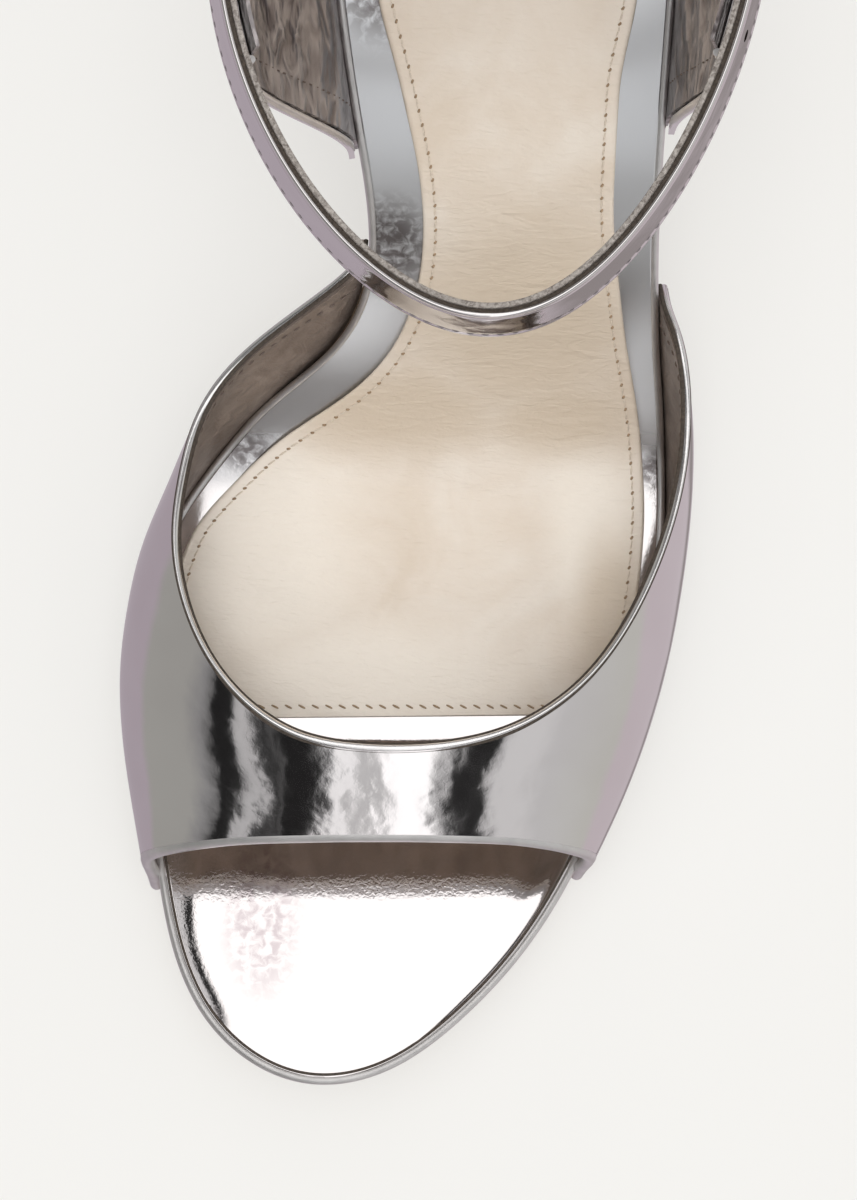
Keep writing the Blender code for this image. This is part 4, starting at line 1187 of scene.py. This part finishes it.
def vamp_form():
    """Grid over the band: rows from the inner foot over the crown to the outer, columns back to front."""
    climbs = np.linspace(0, 1, 121) ** CLIMB_CROWDING
    halves = []
    for side, name in ((-1, "medial"), (1, "lateral")):
        front = SOLE_LENGTH * smooth(REACHES, "front_" + name)(climbs)
        back = SOLE_LENGTH * smooth(REACHES, "top_" + name)(climbs)
        share = np.linspace(1, 0, 111)
        y = front[:, None] + (back - front)[:, None] * share[None]
        halves.append(last_surface(side, y, np.broadcast_to(climbs[:, None], y.shape)))
    return relaxed(np.concatenate([halves[0], halves[1][-2::-1]]), VAMP_EASING)


VAMP = vamp_form()
add_piece("vamp_skin", *wall(VAMP, SKIN_START, LEATHER), MIRROR, "mirror_leather", ["vamp"], 60)


# Vamp lining: thin brown foil-backed leather over the whole inside of the band.
# It is cemented in, and a row of stitches holds it in front of the topline.


def crinkled_lining():
    """Thin crinkled lining with a dull metallic face."""
    material, tree, surface = start_finish("vamp_lining", 0.38, 0.45)
    plain = stretched(tree, (1, 1, 1))
    tint = noise(tree, plain, 0.004, 4.0, 0.5)
    shades = ((0.3, (0.20, 0.155, 0.13)), (0.7, (0.32, 0.26, 0.225)))
    tree.links.new(ramp_colours(tree, tint, shades), surface["Base Color"])
    layers = (
        (noise(tree, plain, 0.0035, 3.0, 1.0), 3.5e-4),
        (noise(tree, plain, 0.0009, 3.0, 0.6), 9e-5),
    )
    tree.links.new(bumps(tree, layers), surface["Normal"])
    return material


add_piece("vamp_lining", *wall(VAMP[:, 1:-2], 0.0, LINING), crinkled_lining(), "mirror_leather")


# Topline bead and front fold: along the topline the leather is folded over a thin cord, with a dark
# cord of painted seam shadow in front of it and a dyed cut edge inside it. The front edge is folded and
# duller.

Trim = namedtuple("Trim", "off out wide tall points")
BEAD = Trim(0.0, 0.0010, 0.00058, 0.00058, 16)
# Dark cord in front of the bead: painted seam shadow.
SEAM_SHADOW_CORD = Trim(-0.00052, 0.00148, 0.00034, 0.00022, 10)
CUT_EDGE = Trim(0.00042, 0.00045, 0.00030, 0.00036, 12)
FRONT_FOLD = Trim(0.0006, 0.0005, 0.00115, 0.00110, 20)
LINING_STITCH = Stitch(0.0014, 0.00014, 0.0)
LINING_PITCH = 0.0022
VAMP_SEAM_COLUMN = 4


def edge_line(grid, column, inside):
    """Border of a grid as a path, with the directions off the edge and out of the surface."""
    path = grid[:, column]
    normal = outward(grid)[:, column]
    off = unit(path - grid[:, inside])
    return path, off, normal


def add_trim(name, line, trim, finish, girth=1.0):
    """Oval fold or cord along an edge, at its own distances off the edge and out of the surface."""
    path, off, normal = line
    middle = path + trim.out * normal + trim.off * off
    body = carried(middle, off * girth, normal * girth, oval(trim.wide, trim.tall, trim.points))
    add_piece(name, *body, finish, "mirror_leather", (), 60)


def inner_seam(grid, rows, column):
    """Stitches down one column of a grid, standing out of its inner face."""
    seam = grid[rows, column]
    centres, way = evenly(seam, LINING_PITCH)
    nearest = np.abs(seam[None] - centres[:, None]).sum(-1).argmin(1)
    inward = -outward(grid)[rows, column][nearest]
    return stitch_row(centres, way, inward, LINING_STITCH)


topline = edge_line(VAMP, 0, 2)
add_trim("topline_bead", topline, BEAD, BEAD_MIRROR)
# The cord of painted seam shadow is fine over the instep and full down both sides.
fullness = np.clip(np.abs(np.linspace(-1, 1, len(VAMP))) * 4 - 0.3, 0.15, 1)[:, None]
add_trim("topline_seam_shadow", topline, SEAM_SHADOW_CORD, DARK_DYE_AND_SHADE, fullness)
add_trim("topline_edge", topline, CUT_EDGE, DARK_DYE_AND_SHADE)
add_trim("front_fold", edge_line(VAMP, -1, -3), FRONT_FOLD, RIM_MIRROR)

BROWN_THREAD = thread_finish("brown_thread", (0.16, 0.12, 0.10))
vamp_seam = inner_seam(VAMP, slice(6, -6), VAMP_SEAM_COLUMN)
add_piece("lining_stitches", *vamp_seam, BROWN_THREAD, "mirror_leather")


# Counter: the closed back, one piece of mirror leather wrapped from arch to arch round the heel.
# It rises from the seat's edge to the inside of the ankle strap, with a soft bulge at the heel.

COUNTER_BULGE = 0.0032
COUNTER_MEDIAL, COUNTER_LATERAL = 0.1428, 0.1460
COUNTER_MEDIAL_TOP, COUNTER_LATERAL_TOP = 0.1455, 0.1464
COUNTER_TOP = 0.88
COUNTER_NECK = -0.15
COUNTER_HOLD = -2.2
COUNTER_UPRIGHT = 0.33
COUNTER_EASING = 12
LOOP_WIDTH = 0.0752
LOOP_FRONT = 0.0578
LOOP_BACK = 0.0446
LOOP_CENTRE = (0.0085, 0.168)
LOOP_SHIFT = 0.0025
LOOP_TAPER = 0.14
LOOP_SKEW = 0.0028
STRAP_BASE = 0.108
STRAP_CLIMB = 0.008
STRAP_LEAN = 0.0018
STRAP_WIDTH = 0.010


def loop_plan(turn):
    """Plan point of the ankle loop inside its lower edge, 0 at the front and 1 at the back."""
    angle = pi * turn
    front, back = np.clip(np.cos(angle), 0, 1), np.clip(-np.cos(angle), 0, 1)
    length = np.where(np.cos(angle) > 0, LOOP_FRONT, LOOP_BACK)
    half = LOOP_WIDTH / 2 * (1 - LOOP_TAPER * front ** 2)
    x = LOOP_CENTRE[0] + LOOP_SHIFT * back - LOOP_SKEW * front * np.sin(angle) ** 2 + half * np.sin(angle)
    return np.stack([x, LOOP_CENTRE[1] - length * np.cos(angle)], -1)


def band_point(turn, rise, outward_by):
    """Point of the strap's band: rise is a share of its width, outward_by a distance from its inner face."""
    turn, rise, outward_by = np.broadcast_arrays(*[np.asarray(v, float) for v in (turn, rise, outward_by)])
    step = 1e-3
    along = unit(loop_plan(turn + step) - loop_plan(turn - step))
    across = np.stack([along[..., 1], -along[..., 0]], -1)
    slant = np.hypot(STRAP_WIDTH, STRAP_LEAN)
    plan = loop_plan(turn) + across * (outward_by * STRAP_WIDTH / slant - STRAP_LEAN * rise)[..., None]
    z = STRAP_BASE + STRAP_CLIMB * (1 - np.cos(pi * turn)) / 2
    z = z + STRAP_WIDTH * rise + outward_by * STRAP_LEAN / slant
    return np.concatenate([plan, z[..., None]], -1)


def loop_turn(y):
    length = LOOP_FRONT if y < LOOP_CENTRE[1] else LOOP_BACK
    return np.arccos(np.clip((LOOP_CENTRE[1] - y) / length, -1, 1)) / pi


def counter_form():
    """Grid over the counter: each column is a wall, a cubic curve up from the rim, and the strap's slope."""
    count = 221
    foot_turn = -np.linspace(turn_at(COUNTER_MEDIAL), 2 - turn_at(COUNTER_LATERAL), count)
    top_turn = -np.linspace(loop_turn(COUNTER_MEDIAL_TOP), 2 - loop_turn(COUNTER_LATERAL_TOP), count)
    inside = -CLEARANCE - LEATHER
    foot_plan = outline(foot_turn, -CLEARANCE)
    low, rim = [np.column_stack([foot_plan, level(*foot_plan.T, depth)]) for depth in (BED_BASE, BED_TOP)]
    around = np.sin(np.linspace(0, pi, count)) ** 2
    swell = outline(foot_turn) - outline(foot_turn, 1.0)
    neck = band_point(top_turn, COUNTER_NECK, inside)
    lift = COUNTER_UPRIGHT * (neck[:, 2] - rim[:, 2])
    pull = rim + np.column_stack([swell * (COUNTER_BULGE * around)[:, None], lift])
    hold = band_point(top_turn, COUNTER_HOLD, inside)
    rows = [low + (rim - low) * share for share in np.linspace(0, 1, 5, endpoint=False)]
    for share in np.linspace(0, 1, 61):
        rest = 1 - share
        rows.append(rim * rest ** 3 + 3 * pull * rest ** 2 * share
                    + 3 * hold * rest * share ** 2 + neck * share ** 3)
    rows += [band_point(top_turn, rise, inside) for rise in np.linspace(-0.02, COUNTER_TOP, 9)]
    return relaxed(np.array(rows)[:, ::-1], COUNTER_EASING)


COUNTER = counter_form()
SKIN_STOP = -5
add_piece("counter_skin", *wall(COUNTER[:SKIN_STOP], SKIN_START, LEATHER), MIRROR, "mirror_leather",
          ["counter"], 60)


# Counter lining: dark crinkled foil leather, drawn into fine wavy wrinkles along the foot.
# It is cemented inside, sewn near both front edges, and the skin is folded over it there.

WRINKLE_DEPTH = 0.00010
COUNTER_FOLD = Trim(-0.0004, 0.0006, 0.0006, 0.0007, 16)
FOLD_START, FOLD_TAPER, FOLD_THINNEST = 5, 8, 0.3
COUNTER_SEAM_COLUMNS = (5, -6)


def wrinkled_lining():
    """Dark foil lining whose fine ridges run along the foot. Its tone follows the ridges' heights: painted
    shade in the troughs, painted highlight on the crests.
    """
    material, tree, surface = start_finish("counter_lining", 0.30, 0.75)
    along = stretched(tree, (1.0, 0.55, 0.9))
    ridges = noise(tree, along, 0.0034, 1.5, 0.8)
    # Painted shade and painted highlight: darker in the ridges' troughs, lighter on their crests.
    shades = ((0.38, (0.17, 0.145, 0.145)), (0.60, (0.40, 0.365, 0.365)))
    tree.links.new(ramp_colours(tree, ridges, shades), surface["Base Color"])
    layers = (
        (ridges, 1.0e-3),
        (noise(tree, along, 0.0018, 2.0, 0.5), 2.4e-4),
    )
    tree.links.new(bumps(tree, layers), surface["Normal"])
    return material


columns = np.linspace(0, 1, COUNTER.shape[1])[None]
heights = np.linspace(0, 1, COUNTER.shape[0])[:, None]
wave = np.sin(2 * pi * (9 * heights + 0.35 * np.sin(30 * columns) + 0.3 * np.sin(71 * columns + 3)))
wave = wave * np.sin(pi * heights)
wrinkled = COUNTER + WRINKLE_DEPTH * (wave - 1)[..., None] * outward(COUNTER)
add_piece("counter_lining", *wall(wrinkled[:, 1:-1], 0.0, LINING), wrinkled_lining(), "mirror_leather")

for name, column, inside in (("counter_fold_lateral", 0, 2), ("counter_fold_medial", -1, -3)):
    line = [part[FOLD_START:SKIN_STOP] for part in edge_line(COUNTER, column, inside)]
    fullness = np.clip(np.arange(len(line[0])) / FOLD_TAPER, FOLD_THINNEST, 1)[:, None]
    add_trim(name, line, COUNTER_FOLD, RIM_MIRROR, fullness)
counter_seams = [inner_seam(COUNTER, slice(8, -9), column) for column in COUNTER_SEAM_COLUMNS]
add_piece("counter_stitches", *joined(counter_seams), BROWN_THREAD, "mirror_leather")


# Ankle strap: 10 mm wide, mirror leather over a dyed core, with a raw lining inside. One row of
# stitches runs along its lower edge, and a pressed crease under its upper edge. It goes once round the
# ankle, through the buckle and keeper, and ends in a round tip. Its five holes are punched.

STRAP_THICKNESS = 0.0022
STRAP_SKIN = 0.00072
STRAP_LINING = 0.00082
CORE_TOP = 0.925
LINING_TOP = 0.975
TAB_THICKNESS = 0.0009
END_BAR, HINGE_BAR = 0.532, 0.594
STRAP_TIP = 0.775
TIP_ROUND = 0.030
PRONG_HOLE = 0.562
PRONG_SLOT = 3.2
HOLE_STEPS = range(-1, 4)
HOLE_STEP = 0.055
HOLE_RADIUS = 0.0009
HOLE_REACH = 2.4
CLIMB_GAPS = 2.5
CLIMB_EARLY, CLIMB_SHORT = 0.006, 0.004
STRAP_PITCH = 0.0021
STRAP_STITCH = Stitch(0.0013, 0.00010, 0.0)
STITCH_SINK = 0.00010
STRAP_START = 0.030
SEAM_START = 0.05
TIP_STOP = 0.985
SEAM_RISE = 0.115
BEAD_CREASE = 0.905


def lift_over_buckle(turn):
    """Outward shift of the strap where it climbs over the buckle's hinge bar and the folded tab."""
    full = STRAP_THICKNESS + TAB_THICKNESS + CLIMB_GAPS * CLEARANCE
    start, end = 2 + END_BAR - CLIMB_EARLY, 2 + HINGE_BAR - CLIMB_SHORT
    return full * ease((np.asarray(turn) - start) / (end - start))


def band_profile(inner, outer, corner, face_points, dents=()):
    """Section of a band as (share of width, distance out): a rectangle with round corners.

    Its outer face runs from bottom to top, with a shallow dent pressed at each height in dents.
    """
    turn = np.linspace(0, pi / 2, 6)
    tall = corner / STRAP_WIDTH
    rise = np.linspace(tall, 1 - tall, face_points + 2)[1:-1]
    out = np.full(face_points, outer)
    for place, half, deep in dents:
        out -= deep * np.exp(-((rise - place) / half) ** 2)
    arcs = (
        (tall * (1 - np.sin(turn)), inner + corner * (1 - np.cos(turn))),
        (tall * (1 - np.cos(turn)), outer - corner * (1 - np.sin(turn))),
        (rise, out),
        (1 - tall * (1 - np.sin(turn)), outer - corner * (1 - np.cos(turn))),
        (1 - tall * (1 - np.cos(turn)), inner + corner * (1 - np.sin(turn))),
    )
    rises = np.concatenate([a[0] for a in arcs])
    outs = np.concatenate([a[1] for a in arcs])
    return rises, outs


def band_body(turns, low, high, profile, lift):
    """A band's section carried along the loop. low and high are its edges' rises at each turn."""
    rises, outs = profile
    rise = low[:, None] + (high - low)[:, None] * rises[None]
    verts = band_point(turns[:, None], rise, outs[None] + lift[:, None])
    count, around = rise.shape
    i, k = np.arange(count - 1)[:, None] * around, np.arange(around)[None]
    after = (k + 1) % around
    faces = np.stack([i + k, i + after, i + around + after, i + around + k], -1).reshape(-1, 4)
    half = np.arange((around - 2) // 2)
    cap = np.stack([half, half + 1, around - 2 - half, around - 1 - half], -1)
    return verts.reshape(-1, 3), np.concatenate([faces, cap, cap + (count - 1) * around])


def band_matrix(turn, rise, outward_by):
    """Frame on the band: x along the strap, y up its width, z straight out of it."""
    step = 1e-3
    along = Vector(band_point(turn + step, rise, outward_by) - band_point(turn - step, rise, outward_by))
    up = Vector(band_point(turn, rise + 0.1, outward_by) - band_point(turn, rise - 0.1, outward_by))
    out = along.normalized().cross(up.normalized()).normalized()
    side = out.cross(along.normalized())
    turned = Matrix((along.normalized(), side, out)).transposed().to_4x4()
    return Matrix.Translation(Vector(band_point(turn, rise, outward_by) + TO_FRAME)) @ turned


def punch(piece, work):
    """Cuts the shapes in work out of a piece, and leaves no cutter behind."""
    mesh = bpy.data.meshes.new("punch")
    work.to_mesh(mesh)
    work.free()
    cutter = bpy.data.objects.new("punch", mesh)
    bpy.context.scene.collection.objects.link(cutter)
    hole = piece.modifiers.new("cut", "BOOLEAN")
    hole.operation = "DIFFERENCE"
    hole.solver = "EXACT"
    hole.object = cutter
    bpy.context.view_layer.update()
    finished = piece.evaluated_get(bpy.context.evaluated_depsgraph_get())
    result = bpy.data.meshes.new_from_object(finished)
    piece.modifiers.clear()
    piece.data = result
    bpy.data.objects.remove(cutter)


strap_start, strap_end = HINGE_BAR + STRAP_START, 2 + STRAP_TIP
strap_turns = np.concatenate([
    np.linspace(strap_start, strap_end - TIP_ROUND, 300, endpoint=False),
    strap_end - TIP_ROUND * np.cos(np.linspace(0, pi / 2, 16)),
])
past = np.clip((strap_turns - strap_end + TIP_ROUND) / TIP_ROUND, 0, TIP_STOP)
strap_half = 0.5 * np.sqrt(1 - past ** 2)
strap_lift = lift_over_buckle(strap_turns)
skin_inner = STRAP_THICKNESS - STRAP_SKIN
skin_profile = band_profile(skin_inner, STRAP_THICKNESS, STRAP_SKIN / 2 - 1e-5, 40,
                            [(SEAM_RISE, 0.030, 0.00012), (BEAD_CREASE, 0.016, 0.00022)])
low_edge, high_edge = 0.5 - strap_half, 0.5 + strap_half
skin_body = band_body(strap_turns, low_edge, high_edge, skin_profile, strap_lift)
strap_skin = add_piece("strap_skin", *skin_body, MIRROR, "mirror_leather", ["ankle_strap"], 50)


def raw_lining():
    """Beige-grey lining leather with a raw, slightly hairy cut edge. Its tone follows the fibre's bump: the
    fibre's own tone, with painted shade in its hollows.
    """
    material, tree, surface = start_finish("raw_lining", 0.6, 0.15)
    fibre = noise(tree, stretched(tree, (1, 1, 1)), 0.0005, 4.0, 0.8)
    # Painted shade: darker where the fibre's bump is low.
    shades = ((0.32, (0.16, 0.135, 0.12)), (0.66, (0.46, 0.42, 0.385)))
    tree.links.new(ramp_colours(tree, fibre, shades), surface["Base Color"])
    tree.links.new(bumps(tree, ((fibre, 1.6e-4),)), surface["Normal"])
    return material


def strap_layer(name, top, profile, finish):
    """Layer under the strap's skin. top is the share of the width at which its upper edge lies."""
    width = high_edge - low_edge
    body = band_body(strap_turns, low_edge + width * (1 - top), low_edge + width * top, profile, strap_lift)
    return add_piece(name, *body, finish, "mirror_leather", (), 50)


core_profile = band_profile(STRAP_LINING, skin_inner, 0.0001, 6)
strap_core = strap_layer("strap_core", CORE_TOP, core_profile, DARK_DYE_AND_SHADE)
lining_profile = band_profile(0.0, STRAP_LINING, 0.0002, 6)
strap_lining = strap_layer("strap_lining", LINING_TOP, lining_profile, raw_lining())
for piece in (strap_skin, strap_core, strap_lining):
    work = bmesh.new()
    for step in HOLE_STEPS:
        turn = 2 + PRONG_HOLE - HOLE_STEP * step
        centre = float(lift_over_buckle(turn)) + STRAP_THICKNESS / 2
        stretch = Matrix.Diagonal((PRONG_SLOT if step == 0 else 1.0, 1.0, 1.0, 1.0))
        place = band_matrix(turn, 0.5, centre) @ stretch
        bmesh.ops.create_cone(work, cap_ends=True, segments=24, radius1=HOLE_RADIUS, radius2=HOLE_RADIUS,
                              depth=HOLE_REACH * STRAP_THICKNESS, matrix=place)
    punch(piece, work)

seam_turns = np.linspace(strap_start + SEAM_START, strap_end - TIP_ROUND, 900)
seam_out = STRAP_THICKNESS - STITCH_SINK + lift_over_buckle(seam_turns)
seam_line = band_point(seam_turns, SEAM_RISE, seam_out)
centres, way = evenly(seam_line, STRAP_PITCH)
nearest = np.abs(seam_line[None] - centres[:, None]).sum(-1).argmin(1)
out = unit(band_point(seam_turns, SEAM_RISE, seam_out + 0.001) - seam_line)[nearest]
GREY_THREAD = thread_finish("grey_thread", (0.26, 0.23, 0.24))
add_piece("strap_stitches", *stitch_row(centres, way, out, STRAP_STITCH), GREY_THREAD, "mirror_leather")


# Buckle tab: the strap's near end, skived to 0.9 mm and folded round the buckle's hinge bar.
# A slot in the fold lets the prong through.

WIRE_RADIUS = 0.0008
TAB_END = 0.665
TAB_MARGIN = 0.06
TAB_FLAT = 0.004
TAB_SLOT = (0.0060, 0.0024, 0.0080)
SLOT_PLACE = HINGE_BAR - 0.006

tab_radius = WIRE_RADIUS + CLEARANCE
tab_centre = STRAP_THICKNESS + CLEARANCE - tab_radius
hook = np.linspace(1.25 * pi, 0.5 * pi, 24)
tab_turns = np.concatenate([HINGE_BAR + tab_radius / (pi * LOOP_BACK) * np.cos(hook),
                            np.linspace(HINGE_BAR + TAB_FLAT, TAB_END, 40)])
tab_out = np.concatenate([tab_centre + tab_radius * np.sin(hook), np.full(40, STRAP_THICKNESS + CLEARANCE)])
tab_rises = TAB_MARGIN + (1 - 2 * TAB_MARGIN) * (1 - np.cos(pi * np.linspace(0, 1, 25))) / 2
tab_grid = band_point(tab_turns[None], tab_rises[:, None], tab_out[None])
tab = add_piece("buckle_tab_leather", *wall(tab_grid, 0.0, TAB_THICKNESS), MIRROR, "mirror_leather",
                ["buckle_tab"], 50)
work = bmesh.new()
slot = band_matrix(SLOT_PLACE, 0.5, tab_centre) @ Matrix.Diagonal((*TAB_SLOT, 1.0))
bmesh.ops.create_cube(work, size=1.0, matrix=slot)
punch(tab, work)


# Buckle: a rounded rectangle of polished wire round the strap, with a plain prong on its hinge bar.
# Both are plated zinc, and the prong's end is thinned.

PRONG_RADIUS = 0.0006
PRONG_SINK = 0.0004
PRONG_PAST = 0.009
PRONG_THINS, PRONG_THINNING = 0.85, 0.45
FRAME_OVERHANG = 0.0019
BUCKLE_BEND = 0.0016


def buckle_metal():
    """Polished plated zinc with faint handling marks."""
    material, tree, surface = start_finish("buckle_metal", 0.14, 1.0)
    plain = stretched(tree, (1, 1, 1))
    shades = ((0.3, (0.74, 0.72, 0.71)), (0.7, (0.80, 0.785, 0.775)))
    tree.links.new(ramp_colours(tree, noise(tree, plain, 0.002, 2.0), shades), surface["Base Color"])
    rubbed = noise(tree, plain, 0.0007, 4.0)
    marks = add_node(tree, "ShaderNodeMapRange", {"Value": rubbed, "To Min": 0.10, "To Max": 0.2})
    tree.links.new(marks.outputs[0], surface["Roughness"])
    return material


def wire(path, radius, closed):
    """Round wire along a path; its girth tapers where radius is an array."""
    way = unit(np.roll(path, -1, 0) - np.roll(path, 1, 0)) if closed else unit(np.gradient(path, axis=0))
    centre = path.mean(0)
    spin = np.cross(way, unit(path - centre) + [0, 0, 1e-3])
    first = unit(np.cross(way, spin))
    second = np.cross(way, first)
    girth = np.broadcast_to(radius, len(path))[:, None]
    return carried(path, first * girth, second * girth, oval(1.0, 1.0, 14), closed)


METAL = buckle_metal()
hinge_out = STRAP_THICKNESS - WIRE_RADIUS
end_out = float(lift_over_buckle(2 + END_BAR)) + STRAP_THICKNESS + CLEARANCE + WIRE_RADIUS
reach = FRAME_OVERHANG / STRAP_WIDTH
corner_places = (
    (HINGE_BAR, -reach, hinge_out),
    (END_BAR, -reach, end_out),
    (END_BAR, 1 + reach, end_out),
    (HINGE_BAR, 1 + reach, hinge_out),
)
corners = [band_point(*place) for place in corner_places]
frame_line = []
for i, corner in enumerate(corners):
    before = unit(corners[i - 1] - corner) * BUCKLE_BEND
    after = unit(corners[(i + 1) % 4] - corner) * BUCKLE_BEND
    for share in np.linspace(0, 1, 9):
        frame_line.append(corner + before * (1 - share) ** 2 + after * share ** 2)
    following = corners[(i + 1) % 4] + unit(corner - corners[(i + 1) % 4]) * BUCKLE_BEND
    for share in np.linspace(0, 1, 8)[1:-1]:
        frame_line.append((corner + after) * (1 - share) + following * share)
add_piece("buckle_wire", *wire(np.array(frame_line), WIRE_RADIUS, True), METAL, "buckle_metal",
          ["buckle_frame"], 60)

prong_over = end_out + WIRE_RADIUS + CLEARANCE + PRONG_RADIUS
prong_root = HINGE_BAR - (WIRE_RADIUS + CLEARANCE) / (pi * LOOP_BACK)
prong_tip = END_BAR - PRONG_PAST
prong_share = np.linspace(0, 1, 30)
prong_turn = prong_root + (prong_tip - prong_root) * prong_share
climbed = np.minimum(prong_share * (prong_root - prong_tip) / (prong_root - END_BAR), 1)
prong_out = hinge_out + PRONG_SINK + (prong_over - hinge_out - PRONG_SINK) * climbed
thinned = np.clip((prong_share - PRONG_THINS) / (1 - PRONG_THINS), 0, 1)
prong_girth = PRONG_RADIUS * (1 - PRONG_THINNING * thinned)
prong_body = wire(band_point(prong_turn, 0.5, prong_out), prong_girth, False)
add_piece("prong_pin", *prong_body, METAL, "buckle_metal", ["buckle_prong"], 60)


# Keeper: a narrow leather loop that holds the strap's free end down.
# Its two feet end at the edges of the strap's near end.

KEEPER_PLACE, KEEPER_WIDTH, KEEPER_THICKNESS = 0.705, 0.0045, 0.0009
KEEPER_BEND = 0.0007
KEEPER_FOOT = 0.3
KEEPER_SIDE_POINTS = 12

keeper_gap = CLEARANCE / STRAP_WIDTH
keeper_inner = KEEPER_FOOT * STRAP_THICKNESS
keeper_outer = float(lift_over_buckle(2 + KEEPER_PLACE)) + STRAP_THICKNESS + CLEARANCE
keeper_turn = np.linspace(0, pi / 2, 10)
bend = KEEPER_BEND / STRAP_WIDTH * (1 - np.cos(keeper_turn)) - keeper_gap
rise = np.concatenate([np.full(KEEPER_SIDE_POINTS, -keeper_gap), bend])
climb = np.linspace(keeper_inner, keeper_outer - KEEPER_BEND, KEEPER_SIDE_POINTS, endpoint=False)
out = np.concatenate([climb, keeper_outer - KEEPER_BEND * (1 - np.sin(keeper_turn))])
flat = np.linspace(rise[-1], 1 - rise[-1], 20)[1:-1]
rise = np.concatenate([rise, flat, 1 - rise[::-1]])
out = np.concatenate([out, np.full(len(flat), out[-1]), out[::-1]])
half = KEEPER_WIDTH / 2 / (LOOP_BACK * pi)
keeper_grid = band_point(KEEPER_PLACE + np.linspace(-half, half, 13)[None], rise[:, None], out[None].T)
add_piece("keeper_leather", *wall(keeper_grid, 0.0, KEEPER_THICKNESS), MIRROR, "mirror_leather",
          ["strap_keeper"], 50)
